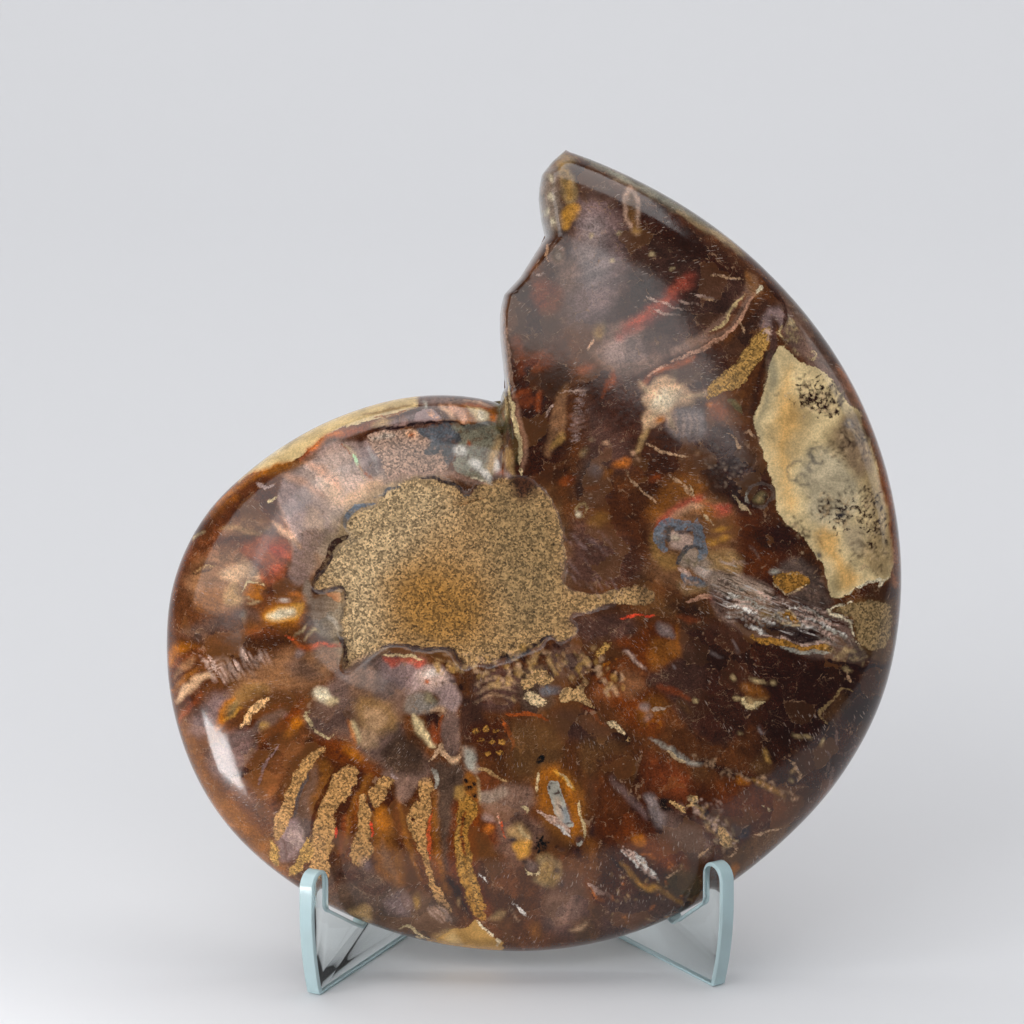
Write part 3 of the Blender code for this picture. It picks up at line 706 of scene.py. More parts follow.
# %% Draw: comb of pale scratches and arcs at the far left
draw("""
area; brown; 2.5 0.7; -53,-6 -44,-9 -34,-9 -30,-12 -33,-15 -42,-14 -53,-16
area; amber; 1 0.85; -51.5,-14 -50,-12.8 -47,-12.4 -46,-13.4 -49,-14.8 -51.6,-17
area; grey brown; 1 0.6; -49,-11 -45,-11.4 -42,-9.8 -40,-9.4 -43,-8.4 -48,-9.6
area; dark brown; 1.5 0.7; -42,-11.5 -36,-13 -31,-13.4 -29,-11.4 -32,-10.4 -38,-11
area; rust brown; 1 0.5; -38,-10.2 -34,-9.4 -31,-10.6 -35,-11.4
band; red brown; 0.5 1.3; -51.6,-18.6 -49.4,-16 -47,-14 -44.6,-13.2
band; tan brown; 0.4 1.4 0.9; -50.4,-18.6 -48.6,-16.8 -46.6,-15
band; dark brown; 0.4 0.9 0.9; -51,-20 -48.4,-17.8 -46,-15.6 -45,-14
band; amber brown; 0.5 1 0.8; -51.2,-21.2 -48.6,-19 -46.4,-17
band; light tan; 0.4 1.8 0.85; -50,-23.4 -48,-20.8 -45.4,-18.6 -43.6,-18
band; dark brown; 0.5 1.5 0.9; -50,-25 -47.4,-22.4 -45,-19.8 -43.4,-18.8
band; rust brown; 0.5 1 0.8; -49.6,-26.6 -47.4,-24.2 -45.6,-21.6
area; mauve; 1.2 0.7; -47.8,-29 -46,-25 -43.6,-22 -40,-21.4 -41,-24 -43,-27 -45.4,-30
""")
comb = np.random.default_rng(4)
comb_rows = ((-45.4, -42.4, -15.2), (-42.6, -38.4, -15.4), (-38.6, -36.2, -14.2), (-35.6, -33.2, -14.2))
for start, end, top in comb_rows:
    for across in np.arange(start, end, 0.62):
        up = top + comb.uniform(-0.7, 0.7)
        long = comb.uniform(2.4, 4.4)
        run = comb.uniform(0.42, 0.6) * long
        points = path((across, up), (across + run / 2, up - long / 2), (across + run, up - long))
        art.stroke("pink white", 0.22, comb.uniform(0.3, 0.55), points, comb.uniform(0.4, 0.85))
draw("""
spot; pink white; 0.35 0.8 1.6 20; -37.9,-14.1
spot; pink white; 0.35 0.8 1.4 30; -36.2,-18.2
spot; pink white; 0.35 0.7 1.3 20; -34.6,-15
""")

# %% [markdown]
# ## Brown and amber lenses below the comb
# Below the comb lie brown lenses between red-brown shell walls: old chambers cut at a slant. Soft
# areas are laid first, then the thin walls over them.

# %% Draw: brown and amber lenses below the comb
draw("""
area; umber glass; 1.5 0.9; -39,-19 -34,-16 -30,-13.4 -27,-14.6 -24,-14 -21,-14 -21.4,-17 -23,-19.4
  -27,-21 -33,-21 -38,-22.6 -41,-25
area; mauve brown; 1.2 0.6; -29,-15 -26,-16 -24,-15.4 -24,-18.6 -28,-19 -30,-17.4
area; tan brown; 1 0.8; -25,-13.8 -21,-13.4 -20.8,-15.6 -22.6,-18 -25,-17
band; rust; 0.4 1; -28.6,-11.4 -27,-13.2 -25,-13 -22.4,-12.6 -20,-12.6
band; vermilion; 0.3 0.5 0.9; -25.8,-13.4 -24,-12.6 -22,-12.8 -20.2,-12.4 | -30.2,-10.8 -29,-11.2
  -28.2,-12
band; cream; 0.25 0.4 0.7; -28.4,-10.6 -27.2,-9.8 -26.4,-9
band; cream; 0.25 0.4 0.6; -26.6,-11.6 -25.2,-9.8 -24.2,-10.4
spot; pale mauve; 0.5 1.8 1.4 20 0.7; -27.4,-14.4
area; ochre; 0.8 0.5; -38.6,-20.6 -35.4,-20 -33,-21 -36,-22.4 -39,-24.6 -40.2,-24
band; amber; 0.5 1.4; -42.8,-28 -41.6,-25.6 -40.4,-23.6 -39.4,-22.4
band; gold; 0.3 0.5 0.7; -41.4,-26.6 -39.6,-25.4 -37.8,-24.2
area; olive; 0.6 0.6; -41,-24.6 -40,-23.2 -38.4,-23.4 -39.4,-25 -40.6,-26
area; dark brown; 0.6 0.9; -34.4,-21.8 -31,-21.6 -28.6,-23.6 -29.6,-24.6 -32,-23.4
band; peach sand; sand 1.5; -38.2,-28 -36.6,-25.8 -35,-23.8 -33,-22.4
band; mauve brown; 0.5 2.2 0.9; -39.6,-30 -36.6,-28.8 -33.8,-26.8 -31.6,-25.4 -29.8,-25.2
band; dark amber; 0.4 1; -37.6,-28.8 -35.4,-26.4 -32.4,-24.2 -30,-23.6
spot; ochre; 0.4 2 1 40; -34,-27.7
area; dark amber; 0.8 0.95; -36.6,-32.4 -33.6,-29 -30.4,-26 -27,-22.6 -26,-24 -27.6,-27 -30.8,-28.8
  -33.6,-31.4
spot; amber; 0.7 3.2 2 35; -27.4,-26.6
spot; amber; 0.7 3 1.4 50 0.8; -29,-28.6
""")

# %% [markdown]
# ## Ribs at the lower left, with sand in the hollow ones
# The ribs of the living shell come through the polish as curved bands. Some were hollow and filled
# with sand, which stays rough to the eye, so those go in the sand layer and get its grains.

# %% Draw: ribs at the lower left, with sand in the hollow ones
draw("""
area; brown; 2 0.8; -49,-30 -44,-30 -38,-30 -34,-30 -30,-30 -24,-30 -16,-32 -8,-36 -2,-38 0,-62 -14,-66
  -30,-58 -42,-46
area; amber brown; 1.5 0.7; -50,-29 -48,-29 -42,-39 -36,-46 -31,-51 -31,-58 -42,-48 -49,-38
area; mauve; 1.2 0.5; -42,-30 -38.6,-28.6 -36,-30 -37,-34 -39,-38 -43,-36 -44,-33
band; mauve brown; 0.4 1 0.8; -38.6,-36 -37,-33 -35.6,-30.6
band; dark brown; 0.5 2 0.95; -38,-37.6 -36.4,-34.6 -33.8,-31.4 -31.6,-28.6
band; mauve; 0.3 0.5 0.8; -35,-38.4 -34,-35.4 -31.6,-31
area; warm brown; 1 0.7; -34.4,-38 -33,-34.6 -30,-31 -26,-29.4 -27,-32.4 -29.6,-35.6 -31.6,-40 -32.4,-44
area; dark brown; 0.7 0.7; -27,-31.4 -24,-30.6 -22.6,-31 -25.4,-32.6 -28.4,-35.4 -31,-39.4 -32.6,-44
  -31.6,-38
area; dark amber; 1.2 0.95; -25,-29.6 -20,-30 -15,-33.4 -13,-37 -15.6,-36.6 -18,-34.6 -21.6,-35.4
  -23.4,-32.4
spot; amber; 0.8 4 2 -35 0.9; -17.4,-32.4
band; slate; 0.3 0.6 0.8; -25.4,-35.6 -27,-38.4 -28,-42 -28.8,-45
area; mauve brown; 0.8 0.9; -24.6,-35 -26.2,-38 -27.8,-42 -28.6,-46 -27,-51 -25.4,-48 -24.6,-43 -23.6,-38
area; amber brown; 0.7 0.9; -23.6,-34 -21.4,-35.6 -22.6,-38.4 -23.8,-41.4 -24.4,-44 -25.4,-41 -24.4,-37
band; dark brown; 0.3 0.7 0.9; -20.6,-35.6 -22.6,-38.2 -23.8,-41 -24.8,-45 -25.2,-48
area; dark brown; 0.6 0.9; -17.4,-36 -16,-35.4 -15.4,-38 -17,-41.6 -18.6,-46 -20.4,-50 -21.6,-54 -21.8,-48
  -21,-43.6 -19,-40
band; amber brown; 0.5 1.6 0.95; -14.6,-36.6 -16.4,-40 -18.2,-44.4 -19.4,-49
band; rust brown; 0.5 1 0.7; -19,-44 -19.8,-48 -20.4,-51
band; dark amber; 0.4 0.9 0.8; -15.8,-39.4 -17.4,-43 -18,-47.4 -19,-51
area; dark brown; 0.6 0.95; -11.4,-39 -9.6,-41.6 -8,-41.6 -8.2,-45 -6.6,-51 -5,-56 -7.4,-58 -9.6,-52
  -10.6,-45 -12,-42.6 -13.6,-44
area; amber brown; 0.8 0.95; -13.9,-43.8 -12,-42.8 -10.6,-44 -10.2,-48 -9,-52 -8.4,-56 -10.6,-57.4
  -13.6,-53.6 -14,-48
spot; amber; 0.8 2.4 4.6 -8 0.9; -12.2,-45
band; tan brown; 0.6 1.4 0.7; -12.4,-48 -11.4,-52 -9.8,-56
band; amber brown; 0.4 1 0.9; -9,-41.8 -8.6,-46 -7.4,-50.6 -5.4,-56
band; red brown; 0.4 0.9 0.8; -9.6,-42 -9.4,-46 -8.8,-49
area; rosy mauve; 0.5 0.95; -12.4,-36.2 -10.6,-35 -8.4,-36.2 -5,-36.4 -6.6,-39.2 -8,-41.2 -9.4,-41.4
  -10,-39 -10.8,-37.2
band; pale mauve; 0.3 0.5 0.9; -11,-34.6 -10.4,-36.6 -9.6,-37.4
band; amber brown; 0.7 2.2 0.9; -2.6,-40 -2.6,-46 -2.2,-52 -0.6,-58.6
band; dark amber; 0.4 0.8 0.8; -3.2,-45 -3,-51 -1.8,-56.6
area; mauve; 0.7 0.8; -30.6,-45.6 -28.6,-44.6 -27,-47 -26.6,-50 -28.4,-51.4 -31,-52.4 -32,-50
band; dark brown; 0.3 0.5 0.6; -32.4,-48 -30.8,-48.4 -30,-50.6 -30.6,-52.4
""")
# The mauve patch near -31..-26, -45..-52 and the pink-white streaks over it are a painted pale sheen over
# fine scratches of the stone.
for across in (-30.2, -29.4, -28.8, -28.2, -27.4):
    art.stroke("pink white", 0.25, 0.35, f"{across},-46 {across + 0.7},-48 {across + 1.6},-50", 0.6)
draw("""
band; rib sand; sand 2.5; -23.2,-31.8 -25.8,-34.4 -28.2,-37.8 -29.8,-41.8 -30.9,-45.8 -31.6,-48.6
area; rib sand; sand; -19.6,-35.6 -17.6,-34.8 -16.8,-36 -17.7,-38.4 -19.2,-40.8 -20.6,-43 -21.2,-47
  -22,-51.4 -22.8,-56 -25.6,-56 -25.3,-51 -25.1,-47.6 -24.2,-44 -23.2,-40.8 -22.4,-38.6 -21.4,-36.8
area; ochre; sand; -25.6,-48.6 -27.4,-50.2 -28,-52 -29.8,-54.6 -28.2,-55.2 -26.6,-53 -25.4,-52
band; ochre; sand 1.5; -33,-49.2 -32.4,-51 -31.6,-52.8
area; rib sand; sand; -15.2,-39.6 -12.8,-37.4 -11.2,-36.7 -10.4,-37.4 -11.6,-40 -12.6,-42.2 -13.6,-42.8
  -14.4,-41.6 | -15.8,-40 -14.8,-42 -14.3,-43.8 -14.7,-46.4 -14.8,-48.4 -14,-50 -15,-52.2 -17,-53.2
  -18.5,-51.6 -18,-49.4 -17,-46.4 -17,-43.4 -16.6,-41.2 | -5.6,-37.4 -4.3,-36.7 -3.3,-37.8 -3.6,-42 -4,-47
  -3.8,-52 -3,-55.5 -1.6,-58.6 0,-61.6 -0.8,-61.8 -2.6,-59.4 -4,-56 -5.2,-51.8 -6.6,-48.4 -7.8,-45.4
  -7.6,-43 -6.5,-41.3 -5.5,-40.9 -5.8,-39
band; dark brown; vein 0.5; -12,-38.6 -11.4,-39.2 -11.8,-40.2
band; slate brown; vein 0.55; -15.4,-40.2 -14.6,-41.6 -14.2,-43 -13.2,-43
spot; dark brown; vein 1.2 0.9 -30; -6.3,-40.4
band; dark brown; vein 0.45; -7.4,-43.2 -6.9,-44.4 -6.9,-45.2
band; scarlet; vein 0.55; -20.9,-46 -21,-47.2 -21.1,-48.2
band; scarlet; vein 0.5; -14.6,-45.4 -14.5,-46.6 -14.6,-47.8
band; vermilion; 0.25 0.45 0.8; -3.4,-43 -3.6,-46 -3.6,-49 -3.5,-52.4
""")

# %% [markdown]
# ## Foot of the whorl at the lower left
# At the foot the whorl turns away and is darker, with a few pale scratches. The lamps give part of
# this darkening, and the grey umber and dark brown soft areas paint the rest as shade.

# %% Draw: foot of the whorl at the lower left
# The grey umber and dark brown areas are painted shade where the whorl turns away.
draw("""
area; grey umber; 1.2 0.9; -22,-54 -18,-53.4 -14,-54.4 -9,-57.4 -6,-58 -1,-60 1,-64 -4,-68 -12,-66 -22,-62
area; dark brown; 0.8 0.8; -21,-53.4 -18,-54 -15.4,-55.4 -17,-56.4 -20,-56.4 -21.6,-58
band; dark brown; 0.7 1.8 0.6; -16.6,-57 -13.6,-57.6 -11,-56.4
area; tan; 0.8 0.8; -18,-61.2 -16,-60.4 -14.6,-61 -14.4,-63 -16,-63.6 -18.4,-62.4
area; mauve; 0.9 0.6; -12,-59.4 -9.6,-58 -7.6,-58.6 -7,-61 -8.6,-62.6 -11.4,-61.4
spot; mauve; 0.8 2.4 1.6 -40 0.7; -15.4,-53
spot; ochre; 0.4 1 2.2 10; -6.3,-59.6
band; cream; 0.3 0.6 0.8; -9.4,-64.8 -7.4,-64.6 -5.8,-65.6 -4.4,-66.4
area; tan; 0.6 0.95; -3.6,-66.2 -1,-65.4 2,-65.2 6,-66.4 9.4,-67.4 8,-69.4 0,-69.6 -5,-68.2
""")
for shift in (0.0, 0.7, 1.3, 2.1):
    line = f"{-4.2 + shift},-60.4 {-3 + shift},-61.8 {-1.8 + shift},-63.4"
    art.stroke("pink white", 0.2, 0.3, line, 0.6)

# %% [markdown]
# ## Pale and mauve stone under the sand
# Under the sand the stone is mauve and pale, like a bruise. Large soft areas give the change of
# tone, and thin rust lines show where water came in.

# %% Draw: pale and mauve stone under the sand
draw("""
area; mauve brown; 1.2 0.95; -16,-14.6 -12,-14.2 -6,-14.8 -4.6,-17 -7,-21 -9,-25 -8,-30 -4,-34 -4,-37
  -9,-36.4 -14,-34 -18,-30 -21,-29 -24,-29.6 -26.6,-25.8 -25.6,-24.6 -23,-20.6 -21,-19 -19,-17.4
band; cream; 0.25 0.4 0.9; -25,-24.7 -26.6,-25.3 -25.4,-27.2 -24,-29.2 -22.6,-29.7 -21.2,-29
area; slate brown; 1.5 0.5; -26,-25 -22,-24.4 -18,-25 -17,-28 -20,-28.6 -23.4,-29
spot; ivory; 0.6 3 2 -25; -23.4,-21.9
spot; cream; 0.5 2 1.6 0 0.7; -21.8,-22.8
area; mauve; 1.2 0.8; -12.4,-15.6 -8,-15.6 -5.4,-17 -7,-20.6 -10,-20 -12.6,-18.4
area; rosy mauve; 1.2 0.6; -15.4,-20 -11,-20.6 -8.4,-22 -9.4,-25 -13,-25.6 -17,-24
area; tan brown; 1.2 0.6; -18,-18 -15.4,-17 -13.6,-20 -14.6,-23 -18,-22.4
area; ochre; 1.2 0.55; -16.4,-22.4 -12,-23.4 -9.6,-26 -11,-28.6 -15,-28.8 -17,-26
area; light tan; 1 0.6; -15.6,-25 -13,-24.6 -11.6,-26 -12.4,-28 -15,-28.4
spot; light tan; 0.6 3.6 3 -30 0.8; -14.8,-30
band; cream; 0.5 1.2 0.9; -18,-26.8 -17.2,-28.6 -16.2,-30.6
band; orange; 0.5 0.7 0.7; -18.8,-26.6 -17.8,-29 -16.8,-31
spot; salmon; 0.5 1.2 2.2 0 0.6; -14.8,-18.2
area; dark umber; 1.2 0.8; -9.6,-29 -6.4,-30 -4.8,-33 -5,-36 -10,-36 -13,-33
area; crimson; 0.45 0.9; -12,-14.8 -9.6,-15 -6.6,-14.8 -4.6,-16 -5.6,-16.8 -8.4,-15.6 -10.4,-16.6
band; cream; 0.25 0.4 0.8; -12.4,-14.3 -9.6,-14.6 -7.2,-14.6 -5.2,-15.6
area; pale mauve; 0.5 0.8; -6.8,-19.8 -6,-17.4 -3.8,-16.4 -1.6,-16.9 0.1,-18.4 1.3,-20.4 2,-22.6 1.4,-24.2
  0.6,-25.4 -1,-24.8 -2.2,-23.8 -2,-22.2 -3.4,-21.3 -5.4,-21.3 -8,-21.9
area; pink white; 0.7 0.75; -5.6,-18.6 -4,-16.9 -1.8,-17.4 -0.4,-19.4 -2.4,-20.6 -5,-20.4
spot; white; 0.5 2.6 1.3 15 0.5; -3.2,-18
area; mauve; 0.7 0.6; -1.6,-21.6 0.4,-21 1.4,-22.4 0.6,-24.4 -0.8,-24.4
area; grey; 0.6; -8.8,-23.8 -7.4,-21.9 -5,-21.5 -3.4,-21.6 -2.6,-23 -2.6,-24.6 -4.6,-25.2 -6.6,-25.4
  -8.4,-24.8
spot; olive; 0.6 2.6 2 -20 0.7; -3.9,-22.5
spot; rust; 0.3 1.1 0.9; -4,-19.6
band; cream; 0.4 1.6 0.95; -6.6,-25.6 -5.6,-27.6 -4.6,-29.6 -3,-31.4
band; light tan; 0.4 1 0.8; -3.6,-24.8 -2.2,-24.6 -1.4,-25.4
area; black brown; 0.4 0.85; -4.9,-25.8 -3.4,-25 -2.2,-26 -2,-28.6 -2.2,-30.4 -3.6,-30 -3.8,-28
area; rust brown; 0.5 0.9; -3.2,-27 -2,-28.6 -1.6,-30.6 -2.8,-31 -3.4,-29.4
band; rust; 0.3 0.5 0.8; -1.8,-25.4 -1.8,-28 -1.6,-30.4
area; mauve brown; 0.6 0.95; -1.4,-25.6 1.2,-25.6 1.8,-28 1.9,-32 0.6,-33.4 -1.2,-32.6
band; light tan; 0.25 0.7; -4,-33.9 -2.6,-32.8 -1.8,-31.4 -1.4,-32.8 -0.4,-33.6 0.8,-34.6 1.6,-33.8
  2,-32.6
area; light tan; 0.3; -0.4,-33.4 1.7,-33.4 1.6,-34.6 0.8,-35.1 0,-34.2
area; grey umber; 0.7 0.95; -3,-34.4 0,-34.8 2.4,-35 2.8,-38 2,-40.6 1,-46 1,-54 -1,-52 -2.2,-44 -2.6,-38
band; pale grey; 0.3 0.8 0.8; -3.4,-35.4 -2.5,-36.4 -2.4,-37.8 -3,-38.6
area; tan mauve; 0.6 0.9; 2.6,-31.2 4.8,-31.8 4.8,-34 5.6,-36 4.4,-36.6 3,-34.6
""")

# %% [markdown]
# ## Lenses and crust in the middle of the foot
# Small lenses and a crust of mud break up the middle of the foot. They are drawn as overlapping
# spots and bands, dark ones first, because pale crust lies over dark stone.

# %% Draw: lenses and crust in the middle of the foot
draw("""
area; slate brown; 0.8 0.9; 1.8,-23 3.4,-22.4 6,-24 6.6,-28 4,-30.6 2.2,-29.4
area; plum; 0.8 0.9; 4.6,-18.6 8,-17.4 12.4,-17.6 13,-21 11,-24.4 7,-25 4.6,-22.6
""")
for rise_by in (0.0, 1.5, 3.1):
    line = f"4.8,{-20.4 - rise_by} 8,{-18.8 - rise_by} 12.2,{-19.6 - rise_by}"
    art.stroke("light tan", 0.25, 0.4, line, 0.7)
draw("""
area; grey umber; 0.8 0.9; 12.8,-17 18.6,-17 19,-20 18.4,-24.6 13.4,-24.8
area; sand; sand; 13.4,-18 15.4,-17.2 17.4,-17.6 18.6,-19 17,-20 15.6,-19.4 14.4,-20.8 13.2,-20
area; pale sand; sand; 13.6,-22.2 15,-21.4 16.6,-22.2 18,-23.4 16.4,-24.2 14.6,-23.4
spot; blue grey; 0.4 2.2 1.6 10; 17.6,-21.2
band; rust; 0.3 0.6; 10,-25.4 13,-25.2 16,-26 18.4,-26.8
area; dark brown; 0.8 0.9; 3.6,-27.4 6,-26.6 9.6,-26.6 11.6,-28.6 11.6,-32 9.4,-33.6 6.4,-33.4 5,-31
  3.6,-30
spot; umber sand; sand 1.1 0.9 20; 4.9,-28.4 | 6.8,-27.9 | 8.7,-28.6 | 5.9,-30.3 | 7.9,-30.6 | 9.9,-30.6 |
  7.1,-32.5 | 9.3,-32.5
band; rust; 0.3 0.7; 9.4,-26.3 10.8,-28.4 11.4,-30.4 11.2,-32
area; pale grey; 0.3 0.9; 3.3,-31.6 4.8,-32.5 5,-34.4 4.4,-36 3.1,-35.2 2.9,-33
band; tan; 0.3 0.6; 4.8,-35.8 7,-36 9.4,-37.5 11.2,-37.6
area; rosy mauve; 0.9 0.85; 5,-38.6 8,-39.4 11,-38 14.6,-38.6 15.6,-41 13.4,-43.6 9,-43.4 5.6,-42.6
area; tan mauve; 0.6 0.75; 5.3,-39.2 7.8,-39.6 9.9,-38.9 10.2,-40.6 7.6,-41.4 5.4,-41.4
area; red brown; 0.4; 5.3,-36.4 8,-36.9 9.4,-37.7 8.2,-39.1 6.6,-39.4 5.3,-39.2
area; walnut; 1.5 0.9; 11,-27.6 16,-27 20,-28.6 20,-35 16,-37.4 11.6,-36
spot; black; vein 1.9 1.6 30; 16.5,-33.6
area; mauve brown; 1.4 0.6; 7.6,-44 12,-43 18,-47 16,-50 12,-53 8,-50
band; cream; 0.3 0.55 0.9; 13.4,-42.4 13.9,-43 14.2,-44
band; pale mauve; 0.6 1.2 0.6; 6,-43.8 7,-44.4 8,-45.2
area; dark amber; 0.8 0.8; 6,-46 8,-45 9,-47 8.6,-49.4 7,-49.6 6,-48
spot; orange; 0.5 1.7 2 10 0.7; 7.3,-46.8
band; vermilion; vein 0.5; 9.3,-44.3 9.6,-45.6 9.9,-47.2 10.3,-48.5
band; salmon; 0.25 0.35 0.8; 8.8,-43.4 8.9,-44.6 9.1,-45.6
""")

# %% [markdown]
# ## Deep rib with a double strand of sand
# One deep rib carries two strands of sand with a dark seam between them. Two bands of the sand
# layer with a crisp dark band over them keep the seam sharp.

# %% Draw: deep rib with a double strand of sand
draw("""
area; dark amber; 0.7 0.95; 1,-41.4 3,-40 5.2,-41.6 5.6,-45 5,-50 5.4,-54.6 6.6,-59 7.6,-63 5,-63.2
  2.6,-60 0.6,-55.4 -0.4,-50 0,-45
area; deep brown; 0.5 0.9; 0.4,-55.6 1.4,-57 3.6,-61.4 4.8,-63.4 3.4,-63 0.8,-59 -0.8,-55
area; umber sand; sand; 2,-41.2 3.4,-40.6 4.6,-42 4.8,-43.6 4,-45.4 3.6,-48 3.8,-51.6 4.6,-55 5.6,-58.6
  6.7,-62.6 6.2,-63.4 5.2,-63 3.4,-60.2 2,-56.4 1.1,-52.4 0.8,-48.6 1,-45 1.5,-42.8
band; dark amber; sand 0.7; 2.5,-43.4 2.2,-45.6 2.3,-48.6 2.6,-51
band; ochre; 0.4 0.9 0.6; 3.1,-51 3.6,-54 4.4,-57.4 5.4,-61
band; ochre; 0.4 0.7 0.6; 1.4,-45 1.3,-49 1.9,-53 2.9,-57
area; ochre; 0.4 0.8; 0.9,-38.9 2.4,-38.7 3,-40 2.4,-41.1 1.3,-40.9 0.8,-40
area; amber brown; 0.5 0.95; 2.6,-37.4 4,-36.4 5,-37.8 5,-41.6 3.6,-40.8 2.4,-39.4
spot; black; vein 0.8 1 30; 3,-37.9 | 3.6,-39.2 | 4.3,-40.6 | 2.9,-39.4 | 4.2,-38.4
band; pale rim; 0.3 0.5 0.6; 5.1,-37 5.3,-39.4 5.3,-42
spot; tan; 0.4 0.7 1.4 0 0.8; 1.4,-59.8
""")

# %% [markdown]
# ## Bottom of the whorl under the eye
# Near the lower rim the stone is dark brown with grit. A cloud of small dark spots, drawn by a
# seeded loop, stands for grit that was never worth placing by hand.

# %% Draw: bottom of the whorl under the eye
draw("""
area; plum; 2 0.85; 17,-56 20,-54.6 25,-56 27,-62 24,-67 18,-66 16.4,-62
area; rosy mauve; 1.4 0.5; 18,-60 20,-58.4 23,-58.6 24,-62 21,-64 18,-63.6
area; walnut; 1.2 0.7; 22,-65 25,-62.6 29,-62 31,-65 29,-67.6 24,-67
area; tan; 0.8 0.85; 11.2,-45.8 13,-46 14.4,-47.4 14,-49 11.8,-48.6 10.8,-47.4
band; cream; 0.3 0.5 0.7; 12.4,-46 13,-47.2 14.4,-48.4
area; gold; 0.6 0.65; 11.8,-49 14.4,-48.8 14.8,-50.4 14.2,-51.6 12.6,-51.9 11.8,-50.6
spot; ink; 0.3 1.2 0.9; 11.5,-48.7
area; khaki; 0.6 0.9; 15.8,-51.6 18,-51.2 20.4,-53 20,-55.6 19,-57.1 16.8,-56.8 15,-55.4 16.4,-54.4
area; ochre; 0.5 0.6; 16.6,-53 18.4,-52.6 19.4,-54.6 19,-56.6 17.4,-56.4 15.9,-55.2
spot; mauve brown; 0.4 2.2 1.6 -20; 14.9,-53.3
band; cream; vein 0.4; 13.3,-53.3 14,-54.3 15.2,-54.7 16.1,-54.4 16.3,-53.3
spot; black; 0.3 1.2 0.7 -30; 13.7,-52.7
""")
dark_grit = np.random.default_rng(9)
for row in range(34):
    across, up = dark_grit.normal((17, -49.6), (1.1, 0.65))
    art.spot("black", "vein", path((across, up)), 0.7, 0.5, 90 * dark_grit.random())
draw("""
spot; ink; 0.35 1.2 0.9 20 0.85; 23,-50.5 | 20.4,-50.1 | 19.6,-54.2 | 20.3,-56.7 | 22,-49.4 | 25.3,-45.8
area; deep brown; 0.8 0.7; 20,-48.4 22.6,-48.8 25,-50.4 24,-51.6 21.4,-50.4 19.4,-50.2
area; ink; 0.8 0.7; 25,-44.6 26.6,-45.4 26.6,-47.8 25.4,-48 24.8,-46.4
area; amber brown; 1 0.8; 25,-48 27,-49 30,-50 30,-53 27,-54 25,-51.6
band; white; 0.2 0.35 0.9; 5.2,-54.4 6,-55.3 7.2,-56.7
band; white; 0.2 0.35 0.8; 11.6,-60 13,-61.2 14.1,-62.6
band; light tan; 0.2 0.35 0.6; 11,-60.8 12,-62.2 12.9,-63.4
area; tan; 0.4 0.7; 7.4,-63 8.4,-61.4 10,-61.6 9.6,-62.8 8.6,-63.6
area; amber brown; 0.7 0.7; 14.4,-64 16,-63.6 17,-65 16.8,-66.6 15.2,-66.4
area; dark amber; 0.8 0.9; 24.6,-56 26,-57 28.6,-59.4 29.6,-61 27.4,-60.6 25,-58.6
band; pink white; 0.3 0.7 0.8; 25.2,-56.6 26.4,-57.4 28.4,-58 29.4,-59
band; orange; 0.3 0.6 0.8; 25.8,-57.6 27,-58.6 28.2,-59.6
band; light tan; 0.4 0.7 0.7; 21.8,-65.2 23.4,-64.8 24.8,-64
area; ochre; inlay; -2.6,-66.6 0.4,-65.2 3,-64.8 5.1,-63.2 6.2,-64.4 7.4,-65.9 9.4,-67 9.6,-69.4 4,-69.2
  -1,-68.4 -3,-67.6
area; pale rim; 0.7 0.5; -1.4,-66.8 0.4,-65.6 1.4,-66 2.4,-67.6 0,-67.6
band; ivory; 0.25 0.45 0.95; 5.1,-63.4 6.2,-64.7 7.6,-66
band; ivory; 0.3 0.7 0.8; 8.2,-66.4 8.9,-67 9,-68
""")

# %% [markdown]
# ## Amber eye with a grey middle
# The amber eye is a chamber full of clear amber calcite around a grey heart. Rings of colour from
# the outside inwards, each softer than the last, give the depth of clear stone.

# %% Draw: amber eye with a grey middle
draw("""
area; amber brown; 1 0.95; 16,-36 18,-34.8 21,-35.4 23.4,-38.6 25,-43 25.2,-47.6 22,-49 19.6,-47.6
  16.4,-43 15.8,-39
area; amber; 0.8 0.8; 17,-36.6 19,-35.6 21,-37 22.6,-40 23.8,-44 23.4,-46.8 21.8,-46.6 22,-43 21,-39.4
  19.6,-37.4 18,-37.4 17.4,-39.6 17.6,-42 16.8,-41
band; gold; 0.3 0.7 0.8; 19,-35.8 21,-37.2 22,-38.4 22.5,-39.4
band; cream; 0.25 0.4 0.9; 20.4,-36.2 21.4,-37.6 22.3,-39
band; cream; 0.25 0.45 0.9; 16.5,-36 16,-37.6 15.9,-39.6
band; cream; 0.25 0.5 0.9; 23.4,-41.4 24,-43.8 24.5,-46 24.7,-48 24,-49.4
area; pale grey; inlay; 18.1,-38.3 18.8,-37.5 19.6,-37.8 20.5,-39.6 21.2,-42 21.9,-44.8 22.6,-45.6
  21,-46.2 19.8,-45.2 18.8,-43.4 18,-41
area; blue grey; 0.6 0.6; 20,-43 21.4,-42.4 22,-45 21,-45.8 19.8,-44.6
area; peach; 0.6 0.4; 18.9,-41 19.8,-41 20.2,-43 20,-45 19,-43.4
band; slate; 0.2 0.3 0.8; 18.3,-39.4 18.4,-38.3 19.4,-38 | 19.2,-39 20,-39.8 20.6,-41 | 18.4,-40.3
  19.4,-40.1 20.4,-40.2 | 19,-42 20,-42.4 20.8,-43.4 | 20.4,-45.6 21.6,-45.4 22.4,-45.2
""")
for step in range(7):
    across, up, long = 15.6 + 0.45 * step, -42.6 - 0.2 * step, 3.4 + 0.5 * (step % 3)
    ends = f"{across},{up} {across + long / 2},{up - long * 0.43} {across + long},{up - long * 0.86}"
    art.stroke("pink white", 0.2, 0.35, ends, 0.85)
